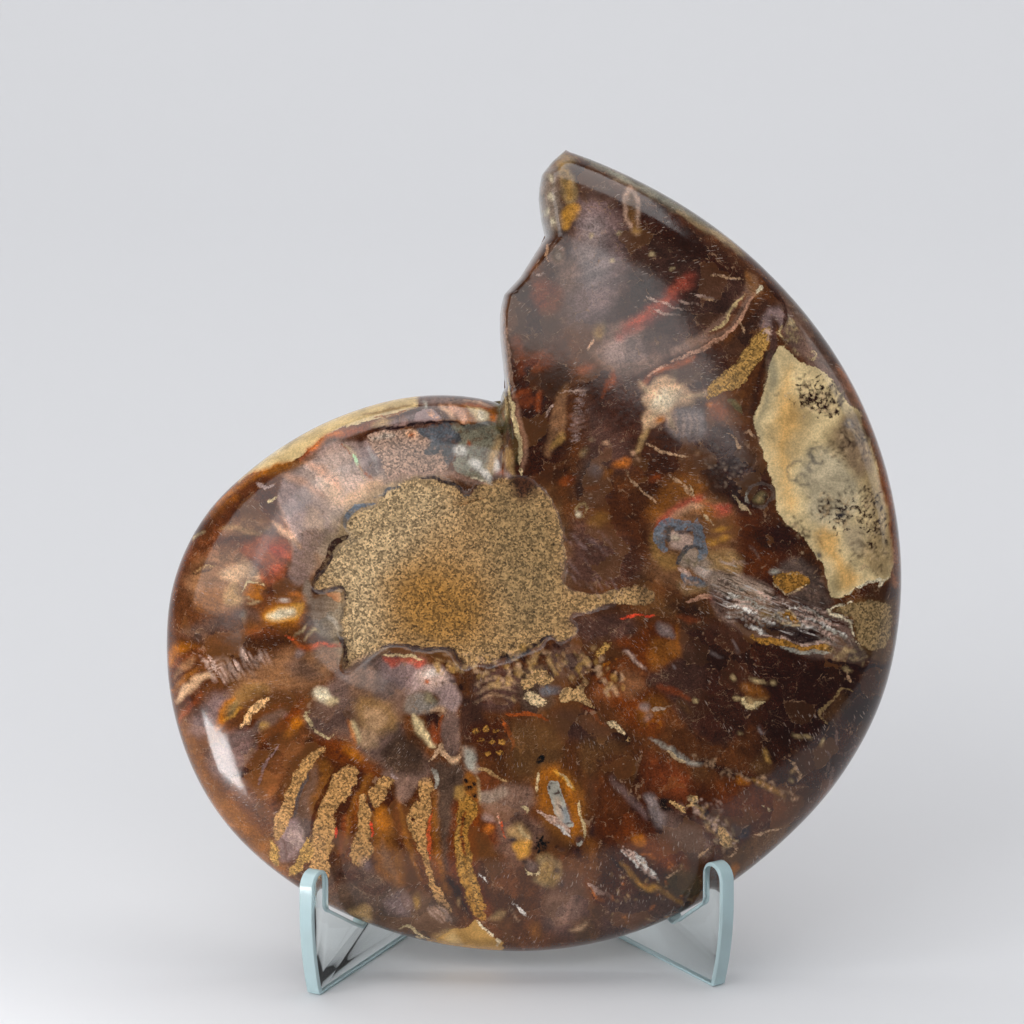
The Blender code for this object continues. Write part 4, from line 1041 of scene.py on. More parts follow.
draw("""
band; white; 0.25 0.6 0.8; 19,-45.4 20.4,-46.6 22.2,-48
spot; plum; 0.5 1.8 1.6; 23.8,-48.4
band; pale grey; 0.25 0.5 0.9; 22.8,-49 23.8,-49.4 24.6,-48.4
area; deep brown; 1.6 0.75; 25.4,-36 30,-35 31,-44 28.6,-48 26,-45 25.6,-40
""")

# %% [markdown]
# ## Amber polygons beside the umbilicus
# Shrinking mud left cracks that filled with amber, as in a dried pond. A noise could make such
# polygons, but these few are large and plain to see, so they are drawn where they are.

# %% Draw: amber polygons beside the umbilicus
draw("""
area; plum; 1.4 0.8; 22,-8 30,-7 34,-9 32,-12 28,-12 25,-12.6
area; mauve brown; 1.4 0.8; 19,-14 22,-13 25,-15.6 24.6,-18 20,-18.6 18.6,-16.4
area; brown; 1 0.8; 25,-13 30,-12 32,-13 32,-14.6 29,-16 25.4,-17
area; ochre; sand; 26.7,-14.8 27.3,-13.6 28.2,-12.5 29.6,-12.8 29,-13.8 28.2,-14.4 27.4,-15.2
area; dark amber; 1 0.9; 30.6,-11.8 34,-11 37,-8 41.4,-7.6 42,-12 42.4,-14.4 40.8,-15.8 38.6,-17 36.6,-18
  35,-16.6 32.4,-14.2
area; amber brown; 0.9 0.75; 37,-12 40,-11.6 42,-13 42.2,-14.6 40.4,-15.9 38.6,-16.8 36.6,-17.6 36.4,-14.6
band; amber; 0.4 0.8 0.6; 41.4,-9 41.8,-12 42.1,-14.2 40.6,-15.6
area; dark amber; 0.7 0.9; 26.4,-18 28.4,-16.4 31.4,-15.2 33.4,-16.2 35.4,-18 35.7,-21 35.2,-24 32,-24.4
  28.4,-23.4 26,-21.4
area; umber glass; 1.2 0.55; 30.4,-17.8 33,-17 35.2,-18.6 35.4,-21.4 33,-22.6 30.6,-20.4
area; warm brown; 1.2 0.6; 26.6,-20 28,-19.4 30,-22 29,-23.4 26.8,-22.4
band; light tan; 0.35 0.8 0.75; 28.8,-22 28.9,-20.9 29.6,-20.6 30.4,-21.2 31,-22.2
band; amber; 0.3 0.45 0.8; 26.6,-16.8 28.2,-16.4 30.2,-15.5
band; light tan; 0.3 0.4 0.8; 23,-19.4 24.6,-18.4 26,-17.6
band; black brown; 0.3 0.8 0.9; 25.6,-17.2 26.8,-16.9 27.8,-16.5
area; dark amber; 1.2 0.9; 31.6,-24 35,-23.4 36.4,-21.4 38.8,-21 39.8,-24.4 39,-26.4 38.6,-29 36,-30
  33.4,-28 31.4,-26
area; amber brown; 0.8 0.7; 35.6,-23 38.4,-22 39.6,-24 39,-25.6 36.4,-26 35.8,-27.6 34.2,-26
area; fog; 0.5 0.7; 37.8,-8.6 39.6,-8.8 41.2,-10.6 40.6,-11.6 38.8,-10.9 37.8,-9.8
spot; fog; 0.4 1.6 1.6 0 0.6; 35.6,-24.4
band; tan mauve; 0.3 0.7 0.9; 36.8,-24.7 38,-24.6 39.2,-24.8
band; rosy mauve; 0.4 1.4 0.7; 36.6,-25.4 36.2,-26 35.8,-26.8
band; amber; 0.25 0.35 0.6; 36.2,-27.6 37,-26.6 38.2,-26.6 38.5,-27.4 37.6,-28
band; deep brown; 0.4 0.8 0.8; 31.4,-13.4 33.4,-15.4 35.8,-17.8
spot; pink white; 0.25 1.4 0.45 -42; 32.4,-14.5 | 33.5,-15.3 | 34.8,-16.5
area; dark mauve; 1 0.9; 42.4,-8 46,-8 54,-10 56,-24 50,-31 44,-28 40.4,-23.6 38.4,-21 36,-20.4 36,-18.2
  38.4,-17.2 40.8,-15.8 42.4,-14.4
area; deep brown; 2 0.8; 43,-9 54,-12 56,-26 48,-31 44,-26 47,-18
band; rust brown; 0.5 1.2 0.8; 38,-20.4 40,-21 42,-21.8 44,-22.8
spot; pale rim; 0.3 0.9 0.9; 45.2,-22.9
band; walnut; 0.6 1.4 0.6; 41.6,-23.6 43.4,-24.4 44.4,-25
area; black brown; 0.5 0.85; 23.4,-23.8 26.4,-24.4 29,-26.4 31.4,-28 33.4,-30.4 32.4,-31.2 29.6,-29.4
  27,-26.8 25,-25.4
area; pale sand; sand; 28.7,-26.7 29.8,-26.6 31,-27.6 31.8,-29 31.2,-29.3 30.2,-28.3 29.2,-27.6
spot; sand; sand 0.9 0.7 -40; 32.6,-30.1
band; rust; 0.25 0.4 0.7; 23.8,-24.3 26,-25.2 27.4,-26.4 28.4,-27.5
area; dark mauve; 1.4 0.9; 19,-25.4 24,-25 27.4,-27.4 30,-30 26,-31.4 20,-29
area; walnut; 1.4 0.8; 24,-31 30,-30 33.4,-32.4 34,-36 30,-38 24,-35.6
area; sand; sand; 19.6,-22.4 21,-20.4 22,-20.7 22.6,-21.8 23.4,-20.3 24.9,-20.2 24.5,-21.8 25.6,-23.4
  26.4,-24.6 24.6,-23.9 22.8,-23.1 20.6,-23.4
spot; blue grey; 0.5 2.4 1.6 0 0.8; 18.9,-20.8
band; umber sand; 0.4 1 0.8; 34.2,-34.4 33.5,-36.6 33.2,-38.2
band; light tan; 0.25 0.4 0.85; 34.8,-32.4 34.2,-34.8 33.7,-37 33.5,-38.6
area; grey umber; 1.4 0.6; 26,-38 31,-37.6 33,-40 32,-43.6 27,-42
area; dark amber; 2 0.55; 36,-35 42,-35.6 48,-38.6 54,-38 54,-42 44,-41 38,-39.4
area; walnut; 1.2 0.6; 44,-35.4 47,-35 48.6,-37.6 46,-38.6 44,-37
area; pale grey; 0.25 0.9; 36.6,-29.9 38.6,-30.8 42,-32.4 44.4,-33.7 46.4,-34.8 45,-34.8 42,-33.6
  39.4,-32.2 37.4,-30.8
band; pale sand; 0.3 0.5 0.8; 39.6,-32.5 41.6,-33.6 43.2,-34
""")
for share in (0.0, 0.35, 0.7):
    line = f"{37.6 + share},{-30.7 - share / 2} {40.6 + share},{-32.1 - share / 3}"
    line += f" {44 + share},{-34 - share / 4}"
    art.stroke("grey brown", 0.15, 0.2, line, 0.7)
draw("""
band; fog; 0.3 0.5 0.6; 47.4,-14 48.4,-14.8 49.8,-15.5 | 51.4,-12 52.2,-13.4 52.8,-14.4 | 40.9,-16.5
  41.2,-17
""")

# %% [markdown]
# ## Crust of sand grains caught beside the coil
# Loose grains stuck to the stone along the lower edge of the sand. A seeded loop scatters them
# about a curve, which takes a few lines instead of hundreds of spots.

# %% Draw: crust of sand grains caught beside the coil
crumb = np.random.default_rng(77)
crust_text = "-2,-14.6 4,-15.6 10,-16.4 15,-15 20,-14.6 26,-15.6 31,-18"
crust_line = rounded_line(points_of(crust_text), closed=False)
for row in range(240):
    across, up = crust_line[crumb.integers(len(crust_line))] + crumb.normal((0, -1.4), (0.8, 1.9))
    tint = ("light tan", "sand", "dark brown", "tan", "ochre", "black brown")[row % 6]
    long = crumb.uniform(0.4, 1.5)
    wide = long * crumb.uniform(0.3, 0.8)
    art.spot(tint, 0.16, path((across, up)), long, wide, 180 * crumb.random(), 0.8)

# %% [markdown]
# ## Cliff of the step and the stone behind it
# The last whorl ends in a step, and its cliff is banded in dark and pale mauve. The mesh has the
# step itself, and fine seeded lines give the bands on it.

# %% Draw: cliff of the step and the stone behind it
# The dark olive area at 8.4..10.7, 25.4..28 is painted shade in the crevice at the foot of the step.
draw("""
area; dark brown; 1.5 0.95; 9,50 12,52 20,46 22,38 21,28 19,19 14,14 11,16 10,24 9,34
area; slate brown; 2 0.9; 10,51 13,54 20,52 20,44 17,41 11,44
area; deep brown; 1.2 0.8; 14.6,19 21,18 20,30 21.6,36 16,40 12.6,35
band; rust brown; 0.8 1.8 0.8; 12,43 12.6,40 13.4,37
area; rust brown; 0.9 0.6; 14,40 17.6,41 18.6,38 15.4,37
band; rosy sand; 0.3 1.5 0.8; 9,50 9.7,45.4 10.2,42 10.4,39 11,36.6 12.2,34.4
band; cream; 0.25 0.7; 10.4,36.4 11.1,32 11.7,28.5 12.3,25 12.8,21.5 12.9,18.4
band; salmon; 0.4 0.9 0.6; 11.7,34 12.4,29 13.3,24.6 13.6,22 13.3,19.4
band; dark olive; 0.4 0.9; 10.7,28 11.4,25 12,22 12.4,20.4
area; olive; 0.4 0.9; 8.2,31.5 9,33 10,33.7 10.8,31 11,29 10.6,27.6 9.2,27.2 8.5,28.4 9,30
band; pale rim; 0.25 0.5 0.8; 9.6,33 10.2,31.2 10.4,29.2
area; dark olive; 0.4 0.95; 8.4,28 9.4,28.1 10.7,27.4 9.8,25.4 8.6,26.4
band; tan; 0.4 1.6 0.9; 10.4,23 10.8,21.4 11.5,18.6
spot; pale mauve; 0.5 1.6 1.2 0 0.8; 10.4,18.4
spot; rust; 0.4 1.2 1 0 0.8; 9,18.9
spot; white; 0.4 1 2.4 0 0.8; 8.7,20.4
area; rust brown; 0.5 0.8; 12,31.6 13,30.2 14.6,30.6 15,32.4 14,33.8 12.6,33.4
band; rust brown; 0.4 1.2 0.9; 16.5,33.6 16,31.8 16.3,29.8
band; tan brown; 0.5 2.8 0.85; 21.2,34.4 20.2,31.6 20,29 19.2,25.4 17.8,22
band; ochre; 0.4 1.2 0.8; 20.5,26.4 19.8,24.8 18.4,23
""")
fine = np.random.default_rng(12)
for row in range(17):
    share = row / 16
    across, up = 23.4 - 1.4 * share + fine.uniform(-0.25, 0.25), 34 - 9.5 * share
    long = fine.uniform(1.4, 3.4) * (1.0 - 0.3 * share)
    ends = path((across - 0.4, up), (across + long / 2, up + 0.15), (across + long, up + 0.5))
    art.stroke("pale mauve", 0.18, 0.3, ends, fine.uniform(0.4, 0.8))
draw("""
band; pink white; 0.2 0.35 0.8; 18.6,31.4 18.1,30.2 17.4,28.4 | 20,33.1 22,33.5 26.6,34 | 15.4,55.4
  16.2,55.2 17,55.4 | 27,28.6 27.3,28.3 27.8,28.2
spot; khaki; 0.5 1.8 1.5 0 0.9; 24.6,22.2
spot; cream; 0.3 0.9 0.7 0 0.9; 25.8,24.5
area; plum; 2 0.85; 25,32 30,34 35,32 35,24 32,19 26,20 24.4,26
area; grey brown; 1.5 0.6; 24,20 28,20.4 28,13 24,13
""")

# %% [markdown]
# ## Mauve lobe, calcite star and rust lines of the upper whorl
# The upper whorl has a mauve lobe, a star of pale calcite and lines of rust. The lobe is one area
# with a soft edge about a millimetre wide, though a real edge of shell is there.

# %% Draw: mauve lobe, calcite star and rust lines of the upper whorl
draw("""
area; dark brown; 2.5 0.8; 24,47 32,49 44,46 54,38 60,30 56,20 46,12 36,12 34,22 25,33
area; rosy mauve; 1 0.85; 25.6,41.2 27.2,43 28.6,45.4 31,46.4 34,45.8 38,44.4 41.4,42 39,39.6 37,38
  34.6,36.8 32,36 29.8,37 27.4,38.4 26,40
area; pale mauve; 1 0.5; 28.6,39.4 32,38.2 35.6,40 35.6,43 31.6,44 28.8,42.2
spot; khaki; 0.4 1.9 3.6 -25; 27.2,45
spot; ochre; 0.3 1.2 2.6 -25; 27.2,45
band; peach; 0.3 0.5 0.8; 26.2,43.4 25.6,42.4 25.2,41.2
spot; rust brown; 0.6 3.2 2 10 0.9; 24.6,37.6
band; rust; 0.4 1 0.8; 28.4,32.6 29.3,35 30.4,37.2
band; rust; 0.4 1 0.85; 34.8,34.4 37,36.5 39.8,38 44.6,39.8
band; salmon; 0.25 0.35 0.8; 35.4,35.6 37.6,37.2 40,38.6
area; light tan; 0.45; 35.4,32 36,34 38,35.7 40.6,36.4 42.2,35 43.8,33.6 44.6,31.2 42,30.8 40.4,30 39,28.4
  37.4,27.2 36,26.9 35.2,29 36.6,30.4
area; ivory; 0.7 0.7; 37,31.4 39,33.8 42,33.6 41,31.6 38.4,29.6
spot; amber; 0.5 1.9 1.4 30 0.9; 38.6,28.8
band; tan; 0.4 1.1 0.9; 36.6,27 35.2,24.8 34.2,22.6
area; fog; 0.7 0.85; 40.2,30 43,30.6 46.4,29.8 46.4,25 43,24.4 40.8,25.4 39.8,27.4
""")
for across in (41.4, 42.7, 44, 45.2):
    art.stroke("pink white", 0.25, 0.4, f"{across},29.8 {across + 0.3},27.6 {across - 0.2},25.4", 0.6)
draw("""
spot; orange; 0.5 2.8 1.6 15 0.9; 31.4,20.6
spot; amber; 0.5 2.4 1.6 30 0.8; 29,18.6
spot; peach; 0.3 0.9 0.8 0 0.9; 33.6,22.6 | 34.2,21.3 | 45.6,22.6 | 28.6,24
spot; rust; 0.5 2.6 1.6 20 0.8; 21.4,17.4
spot; rust; 0.5 2.2 1.4 0 0.8; 37.4,17.6
spot; blue grey; 0.8 2.2 2.4 0 0.7; 26.6,18.8
area; amber brown; 1.5 0.7; 36,12.4 40,17 47,18 48,13 43,10 37,10
band; light tan; 0.25 0.4 0.75; 32,19.4 33.8,16.4 38.4,13.4 | 40,18.2 43,15.8 45.4,13.2 | 36,24 39,22.4
  44,22 | 46,20.4 49,19.6 52,20
""")

# %% [markdown]
# ## Mouth of the whorl, painted reflection and the red streak
# At the mouth a pale grey and mauve veil lies over the dark stone: a painted reflection of a broad lamp
# in the polish, with a single red streak of iron. Wide soft areas of low strength paint the veil, and one
# narrow band the streak.

# %% Draw: mouth of the whorl, painted reflection and the red streak
# The mauve and grey areas here are painted reflection over the dark stone.
draw("""
area; slate brown; 2.5 0.95; 17,54 20,64 24,75 30,73 37,69 44,64 54,56 52,48 44,46 32,46 24,46 17,48
area; deep brown; 1.8 0.95; 23,74 30,71.6 37,68.6 43,64.4 50,58.6 54,54 48,54 40,60 32,66 24,69.4
area; dark mauve; 2 0.7; 30,60 38,61 48,56 52,50 44,49 36,53 30,55
area; mauve; 2.6 0.7; 21,48 23,58 23,68 28,69 31,64 31,56 29,48 25,46
area; fog; 2 0.7; 23.6,55 23.6,63 25.4,66 28.4,63.6 29,57 27,53
band; olive grey; 0.7 1.6; 23.4,76.8 29,74 35,71 41,67.6 47,63.8 52,60.6
band; khaki; 0.5 0.9 0.9; 41.6,66.6 46,64 50,61.6 54,58.4
area; khaki; 0.7 0.9; 19,77.6 23,76.4 22,75 19.6,75.6
area; khaki; 0.5; 19.4,76 21,75.8 22.2,73.6 23,71.4 23.2,69.2 22.4,67.5 21.2,67.8 20.6,69.8 20.2,72
  19.8,74
area; ochre; 0.4 0.8; 20,75.4 21.2,75 21.8,73 22.4,70.8 22.4,69 21.4,68.6 21,70.6 20.6,72.6
area; dark olive; 0.4 0.7; 20.6,73.6 21.4,73.4 21.6,71.6 21,71.4
area; gold; 0.4 0.7; 22.4,68 23.8,67.2 23.2,65.4 22,64 20.9,63.1 20.1,64 20.2,65.6 21,66.7
area; pale shell; 1 0.8; 15.4,64 16.4,74 18.6,76 19.8,72 20.2,66 19.6,62.6 17,62
spot; ivory; 0.4 0.9 1.2 20 0.8; 18.3,72.5 | 18.4,69.3 | 17.4,66.4 | 18.9,64.6
band; rosy sand; 0.35 3; 32.9,70.6 33.2,68.4 33.6,65.6 33.9,62.4
band; walnut; 0.35 1.5; 33,69.6 33.3,67.4 33.6,65.4 33.9,63.4
spot; ochre; 0.4 1.5 1.1 0 0.9; 34,62.8
spot; cream; 0.3 0.7 0.6 0 0.8; 31,62.6 | 25.8,62.2 | 29.4,57.6 | 40.6,56.2 | 36.8,58.8
spot; rosy mauve; 0.4 3.6 3.8; 19.6,58.6
spot; walnut; 0.4 2.6 2.8; 19.7,58.5
spot; tan mauve; 0.4 1.3 1.4 0 0.9; 19.8,58.4
band; peach; 0.3 0.5 0.8; 17.8,60.4 17.4,58.6 17.8,56.8
area; rosy mauve; 1.4 0.6; 19.6,53 20,57 23,58 24,54 22.4,51.6
area; rust brown; 1.2 0.6; 15.4,50 16,54 20,53 20,49 17,47.6
band; crimson; 1.4 2.2 0.8; 31,43.8 34,46 38,48.6 41,51.6 44,54.4
band; vermilion; 0.8 0.9 0.6; 32.4,45.2 35,47 38.6,49.8 41,52.4
band; pink white; 0.22 0.4 0.75; 35.6,50.6 39.6,49.5 44.6,48.2 | 41.4,50.4 43.6,49.8 46.4,48.9 | 48.4,55.2
  50.2,54.8 52.2,54.2 | 37,48.6 40,47.8 43,47.2 | 44,52 46.4,51.2 49.6,50.6
band; cream; 0.3 0.7 0.8; 50,47.6 51.4,48.6 52.6,50.4
""")

# %% [markdown]
# ## Rays of the calcite star
# Calcite grows outwards from a point. Six rays are drawn twice, wide and peach first, then narrow
# and cream, so that each has a bright core.

# %% Draw: rays of the calcite star
draw("""
band; peach; 0.6 1.8 0.45; 39.4,32 42,34.6 45.4,37
band; cream; 0.35 0.6 0.4; 39.4,32 42,34.6 45.4,37
band; peach; 0.6 1.8 0.45; 40,32 44,32.6 47.4,33.6
band; cream; 0.35 0.6 0.4; 40,32 44,32.6 47.4,33.6
band; peach; 0.6 1.8 0.45; 39,31.4 37,29 35.6,26.6
band; cream; 0.35 0.6 0.4; 39,31.4 37,29 35.6,26.6
band; peach; 0.6 1.8 0.45; 39.6,31 40.6,28.6 41.6,26.6
band; cream; 0.35 0.6 0.4; 39.6,31 40.6,28.6 41.6,26.6
band; peach; 0.6 1.8 0.45; 38.8,32.4 36.6,33.4 34.4,35
band; cream; 0.35 0.6 0.4; 38.8,32.4 36.6,33.4 34.4,35
band; peach; 0.6 1.8 0.45; 40,33 40.8,35.4 41,37.4
band; cream; 0.35 0.6 0.4; 40,33 40.8,35.4 41,37.4
spot; ivory; 0.9 3 2.2 20 0.55; 39.6,32.2
""")

# %% [markdown]
# ## Dark stone of the right side
# The right side is nearly black, with threads and beads of tan shell along old growth lines. The
# dark areas come first, and a seeded loop strings the beads along them.

# %% Draw: dark stone of the right side
draw("""
area; deep brown; 3 0.92; 46,22 56,22 60,10 66,3 70,-6 74,-15 84,-16 80,-30 70,-46 56,-58 40,-67 30,-68
  30,-50 32,-42 44,-42 54,-38 56,-26 52,-8 46,2 50,12
area; black brown; 2.5 0.6; 57,-14 64,-15.6 72,-17 80,-17.4 79,-26 75,-30 68,-31 60,-30 56,-26
area; dark amber; 2.5 0.6; 48,-37 54,-38.6 60,-40 60,-44 52,-46 46,-42
band; plum; 0.9 2.4 0.8; 80.6,-17 79.6,-22 76.6,-29 71.6,-36.6 66,-43 58,-50
band; walnut; 0.6 1.2 0.8; 81.4,-17 80,-22.4 77,-29.6 72,-37.4 66.4,-43.8
area; khaki; 0.5; 53.6,-22.9 54.6,-22.2 56,-22.9 57.8,-22.2 57,-23.4 55.4,-24.3 54.3,-24.3
band; cream; 0.22 0.5; 54.2,-22 53.6,-22.7 54.3,-24.2 55.3,-24.2 56.3,-23.6 57.6,-23.3
area; amber brown; 0.9 0.7; 53.6,-20 56,-20.4 58,-22 57,-22.6 54.6,-21.9
spot; pale rim; 0.3 1.2 0.7 -20 0.85; 52.6,-22.7
spot; pale rim; 0.3 0.9 0.6 -20 0.85; 59.2,-19.8
spot; pale rim; 0.3 2.2 0.6 -20 0.85; 56.2,-19.5
spot; pale rim; 0.3 1.1 0.8 -20 0.85; 52,-18.5
spot; pale rim; 0.3 1.3 0.6 -20 0.85; 65.4,-29.7
spot; pale rim; 0.3 0.6 1.3 -20 0.85; 68.3,-30.7
spot; pale rim; 0.3 0.7 0.5 -20 0.85; 53,-29
spot; pale rim; 0.3 1.4 0.4 -20 0.85; 63.6,-29.4
spot; pale rim; 0.3 0.6 0.6 -20 0.85; 62.5,-37.6
spot; pale rim; 0.3 1.6 0.8 -20 0.85; 72.6,-17.2
band; khaki; 0.25 0.4 0.9; 73.4,-21.4 71.2,-20.9 70.4,-22.2 69.2,-23.3 67.9,-24.6 67.6,-25.8 68.6,-26.8
  69.8,-27.2
area; walnut; 0.9 0.5; 71,-21.6 69.6,-23.4 68.2,-25 68.4,-26.6 71,-26 73,-23
band; light tan; 0.25 0.6 0.9; 72.6,-17.4 72.9,-18.6 73.2,-19.8
band; mauve brown; 0.3 0.4 0.8; 70.5,-28 70.8,-30 70.7,-32 | 70.8,-33.2 73,-32.2 76.4,-30.6 | 70.4,-35
  70,-36.6 68.8,-39.4 | 68.4,-32.4 69.4,-34 69.2,-37
band; fog; 0.3 0.4 0.7; 57,-27.6 57.2,-28.8 58.3,-29.2
area; walnut; 1 0.75; 55.6,-34 57.4,-32.6 59,-35 57.6,-37 55.6,-36
band; ochre; 0.35 0.8 0.9; 57.3,-32 58,-33.4 58.7,-34.6
band; light tan; 0.25 0.5 0.85; 62,-33.7 63.3,-34.2 63.6,-35.4 64.3,-36.4 64,-37.4
spot; tan; 0.3 1.2 0.5 30 0.9; 62.9,-35.9
band; black brown; 0.5 1.4 0.8; 44.6,-33.8 50,-35.8 56,-38.2 63,-41
band; umber sand; 0.4 0.9 0.9; 55,-37.6 58,-39 61.4,-40.4
band; amber; 0.4 1.3 0.8; 52.6,-36.8 53.4,-38 54.6,-38.6
""")
beads = np.random.default_rng(21)
for row in range(46):
    share = beads.random()
    across, up = 44.4 + 18.6 * share, -33.4 - 7 * share + beads.normal(0, 0.6)
    long, turn = beads.uniform(0.3, 0.9), 180 * beads.random()
    art.spot("light tan", 0.18, path((across, up)), long, 0.3, turn, beads.uniform(0.4, 0.95))
for row in range(26):
    across, up = beads.uniform(42, 50), beads.normal(-42.4, 0.9)
    art.spot("pink white", 0.2, path((across, up)), beads.uniform(0.4, 1.2), 0.35, -30, 0.8)
draw("""
band; cream; 0.2 0.35 0.9; 57.5,-42.2 58.2,-42.5 58.9,-42.8
""")

# %% [markdown]
# ## Blue ring with its red halo
# A ring of blue-grey calcite with a red halo marks a cut chamber. The halo is wider and softer
# and lies under the ring, as a stain does that has spread.

# %% Draw: blue ring with its red halo
stripe_grit = np.random.default_rng(52)
# The white spot at 47,0.3 in this table is a painted glint.
draw("""
area; plum; 2 0.75; 22,-2 23,10 30,8 36,2 34,-1 29,-1.6
area; dark brown; 2 0.6; 33,-2 36,6 36,12 30,16 26,12 32,6 31,0
area; walnut; 2 0.7; 36,2 38,-4 46,-5 50,-8 42,-9 36,-7 34,-3
area; umber glass; 1.4 0.7; 36.4,6 37.6,9.4 41,12.6 46,14.4 52,12 53,6 52,1 46,-3 40,-2 37,1
area; dark amber; 2 0.6; 50,11 56,11 60,4 58,0 52,1 52,6
band; crimson; 0.6 1.5 0.8; 37.8,8.4 39.2,10.2 41.4,11.8 43.4,13 45.6,13.8
band; peach; 0.5 1.3 0.6; 40.4,10.6 42.6,11.6 45,12.4 46.4,12
spot; crimson; 0.7 3.4 2 20 0.75; 49.4,11.3
band; crimson; 0.4 0.8 0.7; 46.8,12.8 49,12.2 51.4,12.4
spot; crimson; 0.6 2 1.4 20 0.7; 45.6,14
area; amber brown; 0.7 0.7; 46,12 48,12.4 48.4,9.6 46.6,9.4
spot; gold; 0.4 2.6 0.7 10 0.75; 49.6,8.4
spot; gold; 0.4 2.4 1 10 0.75; 48,6.2
spot; gold; 0.4 2 0.8 10 0.75; 50.2,6.8
spot; gold; 0.4 1 1.6 10 0.75; 50.2,2.6
area; ochre; 0.8 0.6; 36.6,7 38.4,8 38.6,4.6 41,3.4 41,0.6 39,1.4 37,4
area; pink white; 0.45; 40.1,7.9 41.9,8.3 43.8,7.5 44.9,6.2 44.4,4.8 42.6,4.3 40.4,4.9 39.9,6.2
area; tan mauve; 0.4; 42.2,3.9 44.4,4.7 46.2,3.9 47.6,2.7 48.6,1 47,-0.5 45.4,0.2 44,0.8 42.4,0.9 41.6,2.2
area; tan; 0.8 0.75; 46.6,4.6 51,4.6 53,2.6 52.4,-0.6 49.6,-1.2 47.4,-0.4 47.6,2.6
band; blue grey; 0.3 2.1 0.95; 43.6,9.4 41.6,9.3 39.8,9.4 38.6,8 38,6.4 39.3,4.9
band; slate; 0.3 1.1 0.9; 41.2,8.8 39.9,8.6 39.6,7 39.8,6
band; blue grey; 0.3 1.9 0.95; 43.2,8 44.8,8.7 45.6,7.4 45.7,5.8 46.5,4.2 45.6,2.6
band; blue grey; 0.3 1.1 0.9; 45.1,9.9 44.9,8.6 45.4,7
band; slate; 0.3 0.9 0.95; 46.4,4.7 44.6,5 43,4.6 42,3.4 41.5,2 40.9,1.4
band; blue grey; 0.3 1.7 0.95; 42.2,-0.2 43.8,-0.7 45.2,-1.2 47,-1.9
band; ink; 0.3 0.6 0.8; 41.2,8.2 42.6,8 44,7.9
spot; white; 0.5 3 1.3 -15 0.9; 47,0.3
""")
for row in range(26):
    across, up = stripe_grit.uniform((41, -2), (52, 3.4))
    points = path((across, up), (across + 1.2, up - 0.6), (across + 2.6, up - 0.9))
    art.stroke("pink white", 0.2, 0.35, points, 0.55 + 0.3 * stripe_grit.random())
draw("""
spot; ivory; 0.4 1.8 1.2 20 0.6; 41.2,6.8
band; olive; 0.2 0.3 0.7; 42,3.6 43,2.4 43.8,1.2 | 43,3 44,2 44.8,1.4 | 44.6,1.2 45.4,2.2 45.6,3.4 |
  40.6,6 41.8,6.4 42.8,6
spot; white; 0.2 3.1 1.5 -14; 48.9,-0.5
spot; black; 0.2 2.3 0.9 -14; 49,-0.5
band; pale mauve; 0.2 0.3 0.8; 48,-0.3 48.8,-0.5 49.4,-0.7
area; khaki; 0.9 0.6; 41.6,-1.4 44,-1.8 48,-1.8 50,-3 47,-3.4 43,-3
band; salmon; 0.3 0.8 0.9; 43.2,-4.7 45,-4.3 47,-3.9 48.6,-4.3
band; crimson; 0.35 0.9 0.9; 47.6,-4.2 49,-4.8 50.8,-5.4
area; deep brown; 0.8 0.8; 40,-5.6 44,-5.2 46,-6.2 50,-8 54,-10.6 48,-9 43,-7.6
band; rust brown; 0.5 1.2 0.7; 41.6,-7.6 43.4,-7.9 45.6,-8
band; scarlet; vein 0.45; 31,-7.6 32.6,-7.75 34.6,-7.45 36,-7.6 37.6,-7.6
band; khaki; 0.22 0.45 0.9; 23.2,10.9 23.2,12.2 24.2,12.9 25.2,12.4 24.9,11.2 23.9,10.5
spot; ivory; 0.3 0.9 1.1 30 0.9; 23.5,11.1
band; rust; 0.4 1 0.8; 24.9,15.4 26.2,16 27.4,16.4
area; slate brown; 1.2 0.7; 22,15 26,19.4 30,18.6 29,15 25,13.6
area; umber sand; 0.8 0.5; 25.6,10 28.4,11.4 29,10 27,9
area; black brown; 1.6 0.55; 46.6,15 50,22 57,21 58.6,16 54,11.6 50,14
""")
for row in range(70):
    across, up = beads.normal((49.6, 19), (3.0, 2.6))
    art.spot("tan mauve", 0.15, path((across, up)), 0.35, 0.25, 0, beads.uniform(0.3, 0.8))
for row in range(16):
    across, up = 20 + 0.55 * row, beads.uniform(-1, 8)
    long = beads.uniform(1.4, 3.6)
    ends = path((across, up), (across + long / 2, up - 0.6 * long), (across + long, up - 1.15 * long))
    art.stroke("mauve", 0.2, 0.22, ends, 0.5)
draw("""
band; pale sand; 0.22 0.35 0.8; 52,14.3 53.6,13 55.4,11.2 | 53,13 54,11.8 | 44,16.4 44.6,15 45,13.8 |
  46,11.6 47.2,10.4 48.2,9
band; grey brown; 0.3 0.6 0.95; 54.4,13.4 54.6,15.8 56.4,17 58.6,16.2 59.3,14.2 58,12.7 56,12.7 54.8,13.4
band; pale grey; 0.3 0.5 0.8; 54.3,15.4 54.2,14 54.8,13
area; olive; 0.5 0.8; 55.8,14 56.8,15.2 58.2,14.6 57.8,13.4 56.6,13.3
spot; khaki; 0.3 1.1 0.8 20; 57,14.1
spot; black brown; 0.3 0.6 0.9; 58,14.1
area; black brown; 1.6 0.8; 56,8 60,9.6 63.6,7.6 65,5.6 62,4.4 58,5
band; mauve brown; 0.3 0.5 0.7; 54.8,5.4 56,4.4 56.8,3
band; rosy mauve; 0.3 0.5 0.3; 52,16.4 56,20.4 57.6,21.6
""")

# %% [markdown]
# ## Striped fan and the sandy pieces in it
# Thin sheets of shell, cut nearly along their plane, spread as a striped fan. Seeded strokes give
# the stripes their uneven lengths, and the shader adds finer fibres at the same place.

